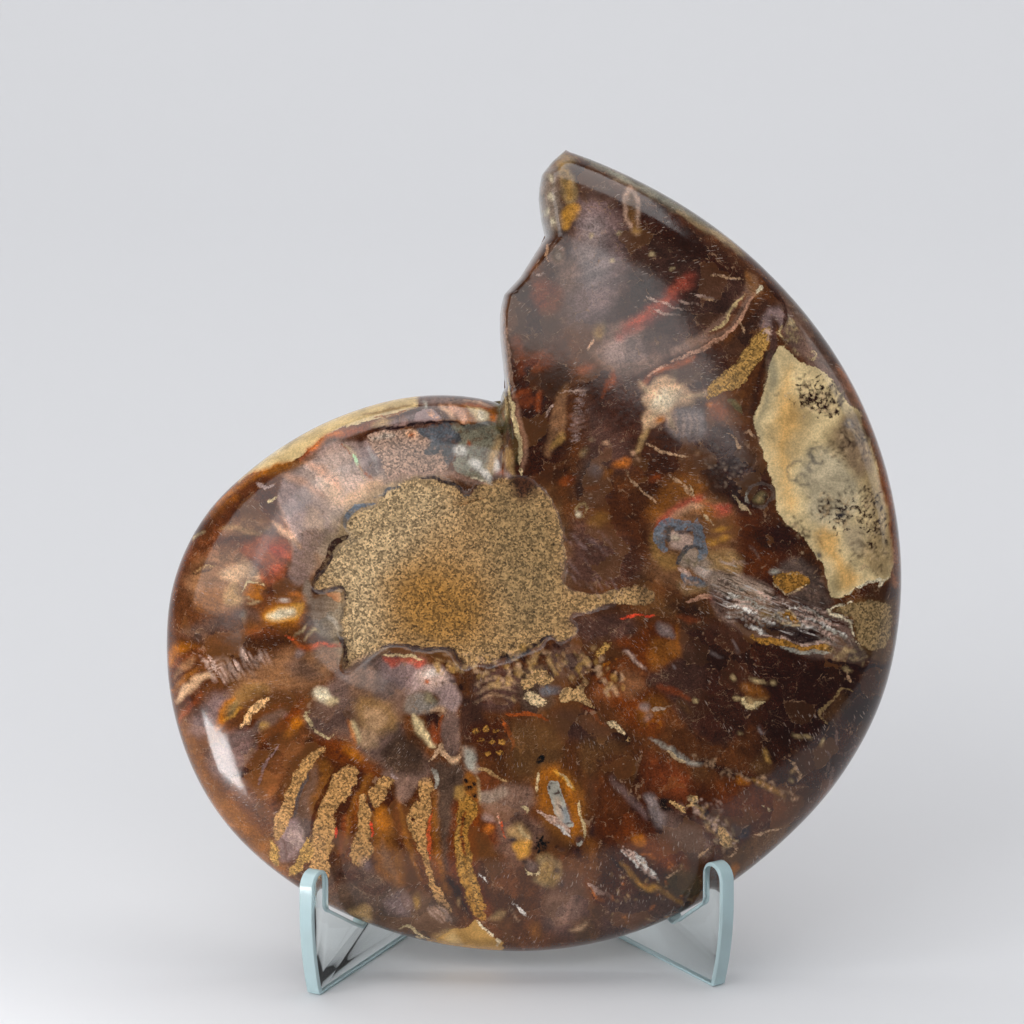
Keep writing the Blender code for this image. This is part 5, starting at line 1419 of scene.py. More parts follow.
# %% Draw: striped fan and the sandy pieces in it
draw("""
area; mauve brown; 0.6 0.95; 47.4,0.4 51,0.8 55,-0.6 58,-2 60,-4 65,-4.6 70,-6.4 73,-9 74.4,-12.6 76,-15
  70,-15.6 63,-14 57,-11.6 52,-9.6 48.6,-6.4 47.4,-3
area; tan mauve; 0.9 0.85; 47.6,0 51,0.4 55,-1 58.4,-3 57,-4.8 52,-3.6 48,-2.2
area; grey brown; 0.8 0.85; 60,0.4 62,3 65,2.6 68,0 69.4,-3 70.4,-5.6 66,-5.4 62,-3.6 65,-2
""")
stripe = np.random.default_rng(31)
for row in range(170):
    across, down = stripe.uniform(48.6, 70), stripe.random()
    up = -0.4 - 0.3 * (across - 49) - down * (7.6 - 0.08 * (across - 49))
    long = stripe.uniform(2.0, 6.0)
    tint = ("white", "black brown", "pink white", "pale grey", "deep brown")[row % 5]
    points = path((across, up), (across + long / 2, up - 0.17 * long), (across + long, up - 0.36 * long))
    art.stroke(tint, 0.16, stripe.uniform(0.12, 0.36), points, stripe.uniform(0.6, 1.0))
for row in range(24):
    across, up = stripe.uniform(60, 68.6), stripe.uniform(-4.6, 1.6)
    points = path((across, up), (across + 1.2, up - 0.5), (across + 2.4, up - 0.9))
    art.stroke("rosy mauve", 0.16, 0.25, points, 0.6)
draw("""
area; black brown; 0.35 0.92; 57.2,-8.8 60,-9.2 64,-9.6 67,-10.8 67.2,-12.3 64,-12.4 60.6,-11.3 57.6,-10.4
area; umber sand; sand; 58.8,-0.5 60,0.6 62,0.5 65.4,-0.1 65.8,-1.6 64,-2.6 61.6,-3.1 60,-2.3
band; pale sand; vein 0.4; 58.7,-0.2 59.3,-1.7 60.5,-2.7 61.6,-3.2 63.6,-2.8 65.4,-1.8
band; pale sand; vein 0.32; 60.2,0.9 62.6,0.1 65,-0.2 67,-0.2 68.8,0.1
spot; pale grey; 0.3 1.7 0.9 20; 59.3,0.9
area; umber sand; sand; 60,-7.4 61.2,-6.7 62.4,-6.5 63.8,-8.3 63.7,-8.9 61.6,-8.7
band; pale sand; vein 0.32; 58.4,-7.6 60,-7.2 61.2,-6.6 62.3,-6.4 63,-7.2 64,-8.4 | 58.6,-8 60,-8.6
  61.6,-8.9 63.6,-9.1 66,-9
spot; khaki; 0.4 1.9 1.5; 57.7,-7.4
area; umber sand; sand; 55.4,-10.6 58,-11 61,-11.9 64,-12.7 66.6,-13 68.6,-12.6 70.3,-13.2 70,-14.4
  67,-14.1 63,-13.7 59.4,-12.9 56.6,-11.9
band; pink white; vein 0.4; 57.4,-10.4 60.4,-11.4 63.4,-12.3 66.4,-12.7 68.2,-12.4 70.2,-12.6 71.4,-13.4
band; pale grey; 0.2 0.6 0.95; 60.4,-13.4 63,-13.9 66,-14.1 68.4,-14.2 70.6,-15
area; grey brown; 0.7 0.85; 70,-12 73,-11.4 74.8,-13 77,-14.6 75,-16.2 71.6,-16 69.6,-14.8
""")
for row in range(40):
    across, up = stripe.normal((73.4, -14.4), (1.9, 0.9))
    art.spot("pale rim", 0.16, path((across, up)), 0.8, 0.22, 180 * stripe.random(), 0.6)
draw("""
area; walnut; 0.5 0.95; 71,-6 74,-5 76.4,-3 80,-1.4 83,-3 82.6,-12 81.6,-15.4 77.6,-15.6 74.9,-13.2
  73.8,-11.6 73.2,-9.4 72.8,-8.2 70.8,-7.8 69.6,-7.2
area; khaki; sand; 71.4,-6.3 74,-5.4 77,-4.8 80,-5.4 80.4,-9 80,-12 78.4,-14 76,-13.6 74.6,-12 74,-10
  73.7,-8 72,-7.4 70.6,-7.1
band; ivory; vein 0.45; 74.4,-4.9 72.4,-5.7 70.9,-6.1 69.5,-7.1 70.8,-7.7 72.7,-8.1 73.2,-9.6 73.8,-11.6
  74.8,-13.2
band; mauve brown; 0.5 1.6 0.8; 82,-4 82.2,-9 81.6,-14.6
area; deep brown; 0.6 0.85; 74,-2.8 77,-1.9 80,-1.2 82.6,-3.4 80,-4.6 76,-4.4
band; black brown; 0.3 0.8 0.9; 68.6,-15.6 72,-16.6 76,-17 80.8,-16.6
""")

# %% [markdown]
# ## Cream lobe along the right rim
# The cream lobe is younger stone with dark mineral growths like moss. The tufts are short curls
# scattered about a few given middles, dense where the growths are dense.

# %% Draw: cream lobe along the right rim
draw("""
area; mauve brown; 1.2 0.9; 60,49 63,48.6 67,43 71,37 75,31 72,30 66,38 62,42
area; rosy mauve; 1.4 0.5; 64,44 69,39 73,33 70,34 66,39
area; cream; inlay; 60.3,42 59.4,40 58.6,38 58,35 57.3,33 56.5,31 55.7,28.8 55.4,27.2 56.2,25.4 57.4,22.8
  58.2,20 59,17 59.6,14 60,12.2 61,10.2 63,8.4 65,6.4 66.6,4 68,1.6 69,-0.6 69.8,-3 71,-4.6 72.8,-3.9
  74.2,-2.6 76,-1.6 78.4,-0.9 80.8,-0.2 81,4 80.8,9 79.8,15 78.2,20 76.8,24.6 75,29 73,31.6 70.6,34.4
  68.6,37 66.4,38.4 64,38.6 62.4,40.4 61.3,41.7
area; olive grey; 0.9 0.75; 58,40 59.4,40.4 60,37 59.6,34 58,33 56.6,29 55.8,27 57.6,23 56.6,27 58.4,32
area; ochre; 1.3 0.35; 60,30 63,33 66,29 64,23 61,17 60.4,13 59.6,17 58.6,22 57.4,26
area; gold; 1.4 0.4; 61,36 62.4,38 62.6,33 64,28 61.6,24 62,19 63.4,13.4 62.4,11.4 61,13.4 60.8,19 59.8,24
  60,30
area; gold; 1.2 0.55; 67,7 69,8.4 71,7 71,3.6 73,1.6 74.6,-0.6 73.4,-2.6 71.4,-2.4 70.6,1 68.4,3.6
area; pale grey; 1.6 0.5; 64,20 67,23 71,22 75,17 74,11 70,9 66,10 65,14
area; pale shell; 1.2 0.5; 72.6,9.6 75.6,8.6 76,5 73.4,4.4 72,6.6
area; khaki; 1.4 0.75; 69,25 73,30 76,27 78,20 79.6,14 80.4,8 80.8,1 78,0 75.4,3 77,8 76.4,13 74.6,18
  72,21
area; mauve brown; 1.3 0.55; 70,24.6 72.4,29 75.6,28 77.6,21 75,18.6 72,21.4
area; blue grey; 0.6 0.5; 72,27.4 73,28.6 73.8,27.4 73,26.2
area; olive; 1 0.5; 69.6,-1 71.4,0 72,-2.4 70.8,-4
""")
rings = ((63.4, 19, 1.7), (66.2, 20, 1.0), (67.3, 21.9, 1.5), (66.2, 22.3, 0.9), (64.6, 17.6, 1.0))
for across, up, radius in rings:
    turns = np.linspace(0.4, 5.6, 8)
    ring = path(*((across + radius * cos(turn), up + radius * sin(turn)) for turn in turns))
    art.stroke("slate", 0.3, 0.45, ring, 0.65)
growth = np.random.default_rng(77)
tufts = (
    ((67.4, 32.8), (1.9, 1.5), 120, 0.95), ((68.8, 31.2), (1.4, 0.8), 60, 0.95),
    ((65.4, 32), (0.9, 0.6), 24, 0.9), ((70.8, 33), (0.8, 1.0), 26, 0.7),
    ((71.6, 11.6), (1.5, 1.4), 60, 0.85), ((69.6, 13), (1.6, 1.2), 44, 0.7),
    ((76.6, 12.4), (1.1, 1.8), 60, 0.85), ((78, 9), (1.1, 1.6), 60, 0.85),
    ((67.6, 12), (1.0, 0.8), 16, 0.6), ((74.6, 4.4), (1.3, 1.6), 40, 0.6),
    ((76, 25.4), (1.2, 2.4), 60, 0.65), ((72.6, 24.4), (1.6, 1.8), 60, 0.6),
    ((70.4, 22.6), (1.6, 1.0), 26, 0.5), ((65.2, 35.4), (0.7, 1.2), 20, 0.7),
    ((62.6, 9), (1.3, 0.6), 22, 0.7), ((65.4, 7), (0.9, 0.8), 20, 0.7),
    ((78.6, 3.6), (1.0, 2.0), 30, 0.6), ((74, 15), (1.6, 1.0), 26, 0.55),
)
for (across, up), spread, count, dark in tufts:
    for row in range(count):
        u, v = growth.normal((across, up), spread)
        turn = growth.uniform(0, pi)
        step_u, step_v = 0.6 * cos(turn), 0.6 * sin(turn)
        bow = growth.uniform(-0.3, 0.3)
        halfway = (u + bow * sin(turn), v - bow * cos(turn))
        curl = path((u - step_u, v - step_v), halfway, (u + step_u, v + step_v))
        tint = "pale sand" if row % 4 == 3 else "black brown"
        art.stroke(tint, 0.12, growth.uniform(0.16, 0.3), curl, dark)
draw("""
spot; slate; 0.3 1.2 1 20 0.9; 67.6,3.6
spot; ink; 0.3 1.8 1.1 10 0.85; 71.8,10.9
spot; ink; 0.25 0.9 0.3 30 0.8; 59.9,33
band; ivory; 0.25 0.5; 72.4,-4 73.6,-3 75,-2.3 77.4,-1.2 79,-0.6 80.6,-0.2
band; ivory; 0.25 0.4; 78.5,-1.9 79,-1.2 79.5,-0.6
band; pale sand; 0.25 0.4 0.8; 74.6,0.8 76,1.6 77,1.2
band; warm brown; 0.7 2.6 0.9; 71.6,37.6 75,32 78.2,25.6 80,18.6 81.2,11 81.7,4 82,-2
band; dark amber; 0.5 1 0.7; 78,23 79.4,19 80.4,13 81,8
band; mauve brown; 0.4 0.8 0.8; 72.6,37.4 76.2,31.6 79.2,25 81,18 82.2,10 82.6,2 82.8,-4
""")

# %% [markdown]
# ## Curved rib, sandy leaf and loop of the upper right
# At the upper right a curved rib, a leaf of sand and a loop of shell lie side by side. The leaf
# goes in the sand layer so that it is grainy, and the rest are crisp bands.

# %% Draw: curved rib, sandy leaf and loop of the upper right
# The grey brown band from 58,56 to 69.6,40.6 is painted light: a paler band where the upper right rim
# curves away.
draw("""
area; dark mauve; 1.2 0.7; 44,50 52,54 55,50 50,45 44,42 36,40 36,46
area; slate brown; 1 0.9; 40,37 46,39.6 52,43.6 55.4,48 57.4,50.6 60,47.6 57,42 53,39.4 48,36.4 44,34
band; rosy mauve; 0.5 2.6 0.9; 55.8,54.4 54.8,52 53,49.2 51,46.8 48.6,44.6 45,42.6 41,40.8
band; red brown; 0.4 1.1 0.8; 54,51.4 52.4,48.8 50.4,46 47.4,43.8
band; pale rim; 0.25 0.5 0.95; 53.6,51.3 52.2,49.8 51,48.2 50.2,46.6 48.8,45.2 46.6,44
band; salmon; 0.3 0.7 0.8; 55.8,51.4 54.8,50 53.6,47.6 51.8,45.4 50,43.8 47.6,42 44,40.4 40.4,39.2
area; tan brown; 0.5 0.95; 54.2,55.4 55.8,55 56.6,53.4 57.2,51.9 55.8,50.8 54.6,51.6
band; ivory; 0.25 0.5 0.9; 56.2,51.4 57,52.4 57.2,53
band; amber brown; 0.4 0.9 0.7; 54.4,55.6 55,54 55.6,52.8
area; mauve; 0.5 0.9; 56.8,45.4 57.4,47.4 59,48.7 60.7,48.1 61.3,46.6 60.5,45.3 59.9,46.6 59.1,46.9
  58.6,46 58.2,44.8
band; plum; 0.3 1.3 0.9; 59.2,46.2 59.3,43.6 58.9,41 58.2,38
band; deep brown; 0.3 0.9 0.9; 57.4,54.4 59.4,51.8 61.2,48.8 61.5,46.6 60.4,45
band; grey brown; 0.8 2.4 0.7; 58,56 62,51.6 66,46 69.6,40.6
band; pale shell; 0.3 0.5 0.8; 61.5,47.6 62.4,46.4 63,45.4
band; pale rim; 0.25 0.45 0.9; 61,46 60.4,44.6 61,43 61.8,42
""")
for row in range(26):
    u, v = growth.normal((62.6, 43.6), (0.9, 1.9))
    art.spot("pale rim", 0.15, path((u, v)), 0.8, 0.22, -45 + 60 * growth.random(), 0.6)
draw("""
band; pale rim; 0.2 0.35 0.8; 65.5,40.7 66.4,41.1 67.1,40.6 66.9,39.9 66,39.6 65.6,40.2
area; brown; 0.5 0.95; 46.6,32.6 50,33.2 53,34.2 56,37.2 57.6,36.6 57.2,33 55.8,30.4 54.8,28 50,27.4
  46.8,28.6
area; deep brown; 0.7 0.8; 46,34 47.6,34.6 50,37.6 52.6,40 50,39.4 47,36.6
area; rust brown; 0.8 0.6; 46.8,31.8 49.6,31.8 51,30.4 49.4,28.8 47.4,29.6
spot; orange; 0.3 1.2 1 0 0.9; 47.2,31.4
band; olive; 0.3 1.1 0.85; 51.4,31.8 52.6,31 53.6,29.6
area; ochre; sand; 46.7,32.8 47.8,35.2 50,37.1 52,38.7 54,40.8 55.4,43.1 56.8,44.9 58.2,45.4 58.5,44.2
  57.8,42.2 57,39.6 55.6,38 54.4,36.2 53.2,34.6 51.4,33.8 49,33.3
band; pink white; 0.25 0.5 0.8; 57,44.2 58,44.9 58.3,44 57.6,43
band; deep brown; 0.35 1.1 0.9; 57.8,40.4 57,37 56.2,33 55.4,29.4 55.2,27.4
area; deep brown; 0.8 0.6; 44,25.4 49,26.4 55,27 56,24 57.4,21.6 54,20.4 48,21.6 44,23
band; light tan; 0.22 0.4 0.75; 51,25.6 52.2,24.8 53,23.4 53.6,23 | 53.6,26 54.6,26.2 55,25.2 | 49,50
  48,50.4 46.6,50.4 | 47.8,55 50,54.8 53.6,54 | 52.8,46.6 53.6,45.4 54.2,44.2
""")

# %% [markdown]
# ## Lower right, with its needles and crust
# The lower right has pale needles of calcite and a crumbly crust. Both are seeded scatters along a
# line: the needles all lean one way, and the crumbs lie anyhow.

# %% Draw: lower right, with its needles and crust
draw("""
area; dark brown; 2.5 0.8; 27,-34 36,-33 44,-36 52,-44 60,-46 62,-50 52,-58 40,-64 28,-67 26,-50
area; dark amber; 1.8 0.6; 27,-37 31,-40 34,-46 36,-49 33,-50 28,-47
area; rust brown; 1.6 0.5; 36,-33.4 41,-35 44,-38 43,-40.6 39,-39.6 35.6,-37.4
area; plum; 1.6 0.7; 28,-60 36,-59 44,-58 46,-60 38,-64.6 28,-67.4
area; fog; 0.6 0.75; 35.8,-40.2 37.5,-40.6 38.4,-43 39.9,-44.6 39.3,-46.6 37.8,-46 36.5,-43.4
area; mauve brown; 1.2 0.85; 39.8,-43.8 43,-45 47.8,-49.2 46.8,-52.4 42.6,-50.2 39.4,-47
area; dark amber; 1.2 0.9; 36,-48.4 40,-49.4 43.4,-52 42.6,-54.4 39,-53.6 35.6,-50.6
area; dark olive; 1.2 0.7; 39,-55.6 42,-53.6 46,-55 46,-59 42,-58.6 39.4,-57.4
area; walnut; 0.8 0.8; 50,-51.8 53,-49.6 57,-47.4 62,-45.6 63.4,-46.6 57,-52 51,-55.6
band; mauve; 0.5 1.4 0.5; 29.6,-37.4 32.6,-40.4 36,-44.4
area; black; 0.35 0.9; 38.3,-41 39.8,-41.2 40.1,-42.6 41,-43.6 39.6,-43.6 38.6,-42.6
area; tan; sand; 40.2,-41.4 41.4,-41.8 42.8,-42.8 42.2,-43.5 41.1,-42.7 | 43.8,-40.2 45.5,-40.6 45.2,-41.2
  44.6,-42.2 43.2,-42.4 44.2,-41.2
""")
crumb = np.random.default_rng(55)
for row in range(150):
    share = crumb.random() ** 0.8
    u, v = 44 + 7.8 * share + crumb.normal(0, 0.75), -40.8 - 8.4 * share + crumb.normal(0, 0.75)
    tint = ("pink white", "black brown", "tan", "ink", "pale sand", "black brown")[row % 6]
    long, wide = crumb.uniform(0.3, 1.1), crumb.uniform(0.2, 0.4)
    art.spot(tint, 0.15, path((u, v)), long, wide, crumb.normal(-40, 30), 0.9)
draw("""
area; sand; sand; 48.6,-46 50.4,-46.4 51.6,-48.2 51.4,-49.6 50,-49.4 49.2,-47.6
area; ink; 0.5 0.85; 51.6,-45.6 54.6,-46.4 54.4,-48 52.6,-48.2
""")
for row in range(26):
    share = crumb.random()
    u, v = 31.2 + 5.4 * share + crumb.normal(0, 0.5), -49.4 - 5.2 * share + crumb.normal(0, 0.4)
    long = crumb.uniform(1.4, 3.0)
    tint = ("white", "pink white", "slate brown")[row % 3]
    ends = path((u, v), (u + long / 2, v - 0.53 * long), (u + long, v - 1.02 * long))
    art.stroke(tint, 0.15, 0.3, ends, 0.85)
draw("""
band; umber sand; 0.4 1.4 0.85; 31.4,-52.6 33.4,-55 35.4,-57.2 38.4,-57.6 42.4,-60.2
band; gold; 0.3 0.7 0.7; 34.4,-56 36,-57.4 38,-57.2
band; black brown; 0.35 0.8 0.8; 28.6,-50.6 31.4,-53.6 34.6,-57.2 37,-58.6
""")
for row in range(60):
    u, v = crumb.uniform(29, 44), crumb.uniform(-64, -51)
    tint = ("tan", "black brown", "orange")[row % 3]
    art.spot(tint, 0.2, path((u, v)), crumb.uniform(0.3, 0.9), 0.3, 180 * crumb.random(), 0.7)
draw("""
band; light tan; 0.22 0.35 0.8; 47.7,-49.3 46.6,-50.8 45.6,-52 | 39,-55.4 40.4,-54.8 41.8,-53.9 |
  52.9,-49.5 52.2,-50.6 50.8,-51.6 | 55,-47.9 58,-47 61.8,-46.4
spot; amber; 0.3 1.3 2.4 -10; 52,-53.8
spot; amber; 0.5 2.4 2 -30 0.7; 34.6,-48.8
""")

# %% [markdown]
# ## Relief of the sand
# The raw sand is rough to the touch: its grains stand up by a fraction of a millimetre.

# %% Raise the grains and store the drawing on the skin
GRAIN_HEIGHT = 0.2

to_sand = area_distance(seen_from_front(places), rounded_line(points_of(UMBILICUS), closed=True))
raw = smooth_step(0.5 - to_sand / 1.2) * (np.hypot(places[:, 0], places[:, 1]) < 30.0)
places[:, 2] += raw * noise_at(places, 0.9, 31) * GRAIN_HEIGHT
places[:, 2] += raw * noise_at(places, 3.0, 37) * GRAIN_HEIGHT * 1.5
set_coordinates(skin, places)


def store_colour(thing, name, colour, fourth):
    """Keeps a colour and a fourth value for each corner under a name."""
    kept = thing.data.color_attributes.new(name, "FLOAT_COLOR", "POINT")
    kept.data.foreach_set("color", np.column_stack([colour, fourth]).ravel())


store_colour(skin, "ground", art.ground, raw)
for layer in LAYERS:
    store_colour(skin, layer, art.colour[layer], 0.5 + np.clip(art.edge[layer], -FAR, FAR) / (2 * FAR))
print("shapes drawn:", art.count)

# %% [markdown]
# ## Nodes, one line each
# A material is a tree of nodes. This helper adds one node, sets its options, and links or sets its
# inputs, so that a tree reads from top to bottom.

# %% A helper for node trees
def add(tree, kind, inputs=None, **options):
    made = tree.nodes.new("ShaderNode" + kind)
    for option, value in options.items():
        setattr(made, option, value)
    for key, value in (inputs or {}).items():
        if isinstance(value, bpy.types.NodeSocket):
            tree.links.new(value, made.inputs[key])
        else:
            made.inputs[key].default_value = value
    return made


def maths(tree, operation, *values, clamp=False):
    return add(tree, "Math", dict(enumerate(values)), operation=operation, use_clamp=clamp).outputs[0]


def times(tree, first, second):
    return maths(tree, "MULTIPLY", first, second)


def plus(tree, first, second):
    return maths(tree, "ADD", first, second)


def swing(tree, field, reach):
    """A noise field turned into a value that swings to both sides of 0."""
    return times(tree, maths(tree, "SUBTRACT", field, 0.5), reach)


def between(tree, value, low, high, out_low=0.0, out_high=1.0):
    inputs = {"Value": value, "From Min": low, "From Max": high, "To Min": out_low, "To Max": out_high}
    return add(tree, "MapRange", inputs, interpolation_type="SMOOTHSTEP").outputs[0]


def mixed(tree, share, first, second):
    inputs = {0: share, 6: first, 7: second}
    return add(tree, "Mix", inputs, data_type="RGBA").outputs[2]


def solid(code):
    """A colour code as an opaque shader colour."""
    return (*linear(code), 1.0)


def scaled(tree, colour, share):
    return add(tree, "VectorMath", {0: colour, "Scale": share}, operation="SCALE").outputs[0]


def noise_field(tree, at, scale, detail=3.0, roughness=0.55, distortion=0.0):
    inputs = {"Vector": at, "Scale": scale, "Detail": detail}
    inputs |= {"Roughness": roughness, "Distortion": distortion}
    return add(tree, "TexNoise", inputs).outputs[0]


def new_material(name):
    made = bpy.data.materials.new(name)
    made.use_nodes = True
    shader = made.node_tree.nodes["Principled BSDF"]
    return made, made.node_tree, shader


def face_place(tree):
    """Where a point is on the face, in millimetres from the middle of the coil."""
    turned_origin = Matrix.Rotation(-FACE_TILT, 3, "X") @ (FACE_ORIGIN / MM)
    place = add(tree, "TexCoord").outputs["Object"]
    inputs = {"Vector": place, "Scale": (1 / MM,) * 3}
    inputs |= {"Rotation": (-FACE_TILT, 0.0, 0.0), "Location": -turned_origin}
    return add(tree, "Mapping", inputs).outputs[0]


def polar(tree, at, middle):
    """The radius in millimetres and the turn, 1 for a whole turn, about a place on the face."""
    parts = add(tree, "SeparateXYZ", {0: at}).outputs
    across = maths(tree, "SUBTRACT", parts[0], middle[0])
    up = maths(tree, "SUBTRACT", parts[1], middle[1])
    squares = plus(tree, times(tree, across, across), times(tree, up, up))
    turn = maths(tree, "DIVIDE", maths(tree, "ARCTAN2", up, across), 2 * pi)
    return maths(tree, "SQRT", squares), turn


# %% [markdown]
# ## The stone
# Polished calcite and shell are glossy, raw sand is dull and full of grains. The drawn layers come
# in as colours with an edge distance, and noise at three scales breaks them up. Fine streaks run
# outwards with the ribs, and thin ridges of noise give the hairlines of an old shell.

# %% Stone material
FAN_PLACE = (47.0, -1.0, 0.0)
FAN_TURN = radians(-22.0)
FAN_LENGTH = 27.0
STIR = 5.0
GRAIN_DEPTH = 0.14 * MM
WAVE_DEPTH = 0.03 * MM
TINTS = {
    "fleck": (0.022, 0.009, 0.005, 1.0),
    "hairline": (0.42, 0.25, 0.14, 1.0),
    "crack": (0.03, 0.012, 0.006, 1.0),
    "pale fleck": (0.45, 0.32, 0.22, 1.0),
    "dust": (0.42, 0.27, 0.17, 1.0),
    "dark fibre": (0.03, 0.014, 0.008, 1.0),
    "pale fibre": (0.5, 0.44, 0.4, 1.0),
    "orange piece": (0.3, 0.12, 0.03, 1.0),
    "joint": (0.36, 0.2, 0.11, 1.0),
    "scratch": (0.5, 0.38, 0.31, 1.0),
}


def stone_material():
    made, tree, shader = new_material("polished_ammonite")
    at = face_place(tree)
    broad = noise_field(tree, at, 0.22, 5.0, 0.6, 0.6)
    middle = noise_field(tree, at, 0.8, 4.0, 0.62)
    fine = noise_field(tree, at, 2.8, 3.0, 0.7)
    layers = {name: add(tree, "VertexColor", layer_name=name) for name in ("ground", *LAYERS)}

    def edge(name, wide, middling, small):
        """How far inside a layer's shapes a place is, in millimetres, with a ragged edge."""
        gap = swing(tree, layers[name].outputs["Alpha"], -2 * FAR)
        gap = plus(tree, gap, swing(tree, middle, middling))
        gap = plus(tree, gap, swing(tree, fine, small))
        return between(tree, gap, -wide, wide)

    # ground: broad clouds, fine speckle, dark flecks, streaks and hairlines
    radius, turn = polar(tree, at, (0.0, 0.0))
    bent = plus(tree, times(tree, turn, 150.0), times(tree, radius, 0.28))
    outwards = times(tree, radius, 0.12)
    along_rib = add(tree, "CombineXYZ", {0: bent, 1: outwards, 2: 0.0}).outputs[0]
    streak = noise_field(tree, along_rib, 1.6, 3.0, 0.6)
    cloud = between(tree, broad, 0.3, 0.7, 0.74, 1.28)
    speckle = between(tree, fine, 0.3, 0.7, 0.62, 1.36)
    shade = times(tree, cloud, speckle)
    shade = times(tree, shade, between(tree, streak, 0.3, 0.7, 0.8, 1.2))
    ground = scaled(tree, layers["ground"].outputs[0], shade)
    fleck = between(tree, plus(tree, middle, times(tree, fine, 0.6)), 0.9, 1.02)
    ground = mixed(tree, times(tree, fleck, 0.65), ground, TINTS["fleck"])
    lines = noise_field(tree, at, 0.3, 3.0, 0.6, 1.2)
    ridge = maths(tree, "ABSOLUTE", maths(tree, "SUBTRACT", lines, 0.5))
    hairline = between(tree, ridge, 0.012, 0.0)
    where_lined = between(tree, broad, 0.5, 0.62)
    hairline = times(tree, hairline, times(tree, where_lined, 0.5))
    ground = mixed(tree, hairline, ground, TINTS["hairline"])
    crack = between(tree, maths(tree, "ABSOLUTE", maths(tree, "SUBTRACT", middle, 0.47)), 0.012, 0.0)
    ground = mixed(tree, times(tree, crack, 0.4), ground, TINTS["crack"])
    pale = between(tree, noise_field(tree, at, 1.9, 2.0, 0.6), 0.7, 0.76)
    ground = mixed(tree, times(tree, pale, 0.5), ground, TINTS["pale fleck"])
    dust = between(tree, noise_field(tree, at, 6.5, 3.0, 0.75), 0.64, 0.68)
    dust = times(tree, dust, between(tree, broad, 0.44, 0.58, 0.08, 0.45))
    ground = mixed(tree, dust, ground, TINTS["dust"])

    # threads: pale and dark fibres of the striped fan
    fan_inputs = {"Vector": at, "Location": FAN_PLACE, "Rotation": (0.0, 0.0, FAN_TURN)}
    fan = add(tree, "Mapping", fan_inputs, vector_type="TEXTURE")
    along, across = (add(tree, "SeparateXYZ", {0: fan.outputs[0]}).outputs[axis] for axis in (0, 1))
    off_line = maths(tree, "ABSOLUTE", plus(tree, across, swing(tree, broad, 9.0)))
    in_fan = times(tree, between(tree, off_line, 4.2, 2.6), between(tree, along, -1.0, 3.0))
    in_fan = times(tree, in_fan, between(tree, along, FAN_LENGTH, FAN_LENGTH - 4.0))
    squeezed = {0: times(tree, along, 0.2), 1: times(tree, across, 1.9), 2: 0.0}
    fibre_place = add(tree, "CombineXYZ", squeezed).outputs[0]
    fibre = noise_field(tree, fibre_place, 1.0, 3.0, 0.65, 0.4)
    dark_fibre = times(tree, between(tree, fibre, 0.49, 0.4), in_fan)
    ground = mixed(tree, times(tree, dark_fibre, 0.8), ground, TINTS["dark fibre"])
    pale_fibre = times(tree, between(tree, fibre, 0.56, 0.62), in_fan)
    ground = mixed(tree, times(tree, pale_fibre, 0.8), ground, TINTS["pale fibre"])

    # pieces: broken shell healed in patches, each a shade apart, with a line between some of them
    stir = add(tree, "TexNoise", {"Vector": at, "Scale": 0.35, "Detail": 4.0, "Roughness": 0.65})
    stir = {0: stir.outputs["Color"], 1: (STIR, STIR, 0.0)}
    stir = add(tree, "VectorMath", stir, operation="MULTIPLY").outputs[0]
    stirred = add(tree, "VectorMath", {0: at, 1: stir}, operation="ADD").outputs[0]
    pieces = add(tree, "TexVoronoi", {"Vector": stirred, "Scale": 0.2, "Randomness": 1.0}, feature="F1")
    parts = add(tree, "SeparateColor", {0: pieces.outputs["Color"]}).outputs
    gaps = add(tree, "TexVoronoi", {"Vector": stirred, "Scale": 0.2}, feature="DISTANCE_TO_EDGE")
    ground = scaled(tree, ground, between(tree, parts[0], 0.0, 1.0, 0.78, 1.24))
    ground = mixed(tree, between(tree, parts[1], 0.6, 1.0, 0.0, 0.22), ground, TINTS["orange piece"])
    joint = between(tree, gaps.outputs["Distance"], 0.02, 0.004)
    joint = times(tree, joint, between(tree, middle, 0.5, 0.6, 0.0, 0.6))
    ground = mixed(tree, joint, ground, TINTS["joint"])

    # scratches: fine pale strokes along the ribs, in bands
    scratch = between(tree, noise_field(tree, along_rib, 7.0, 2.0, 0.5), 0.63, 0.68)
    in_band = between(tree, noise_field(tree, at, 0.14, 2.0), 0.52, 0.6, 0.0, 0.5)
    scratch = times(tree, scratch, in_band)
    ground = mixed(tree, scratch, ground, TINTS["scratch"])

    glint = times(tree, cloud, between(tree, fine, 0.3, 0.7, 0.95, 1.4))
    inlay = scaled(tree, layers["inlay"].outputs[0], glint)
    colour = mixed(tree, edge("inlay", 0.12, 1.0, 0.7), ground, inlay)

    # sand: grains of many tones with a few dark pores between them
    grains = add(tree, "TexVoronoi", {"Vector": at, "Scale": 3.2, "Randomness": 1.0}, feature="F1")
    tone = add(tree, "SeparateColor", {0: grains.outputs["Color"]}).outputs[0]
    tone = between(tree, tone, 0.0, 1.0, 0.46, 1.7)
    pits = between(tree, noise_field(tree, at, 1.5, 4.0, 0.85), 0.36, 0.44, 0.3, 1.0)
    drift = between(tree, noise_field(tree, at, 0.4, 3.0, 0.6), 0.3, 0.7, 0.84, 1.14)
    sandy = times(tree, times(tree, tone, pits), drift)
    in_sand = edge("sand", 0.14, 1.5, 1.1)
    colour = mixed(tree, in_sand, colour, scaled(tree, layers["sand"].outputs[0], sandy))

    vein = scaled(tree, layers["vein"].outputs[0], shade)
    worn = between(tree, noise_field(tree, at, 1.1, 3.0, 0.7), 0.38, 0.52, 0.5, 1.0)
    colour = mixed(tree, times(tree, edge("vein", 0.1, 0.7, 0.6), worn), colour, vein)
    tree.links.new(colour, shader.inputs["Base Color"])

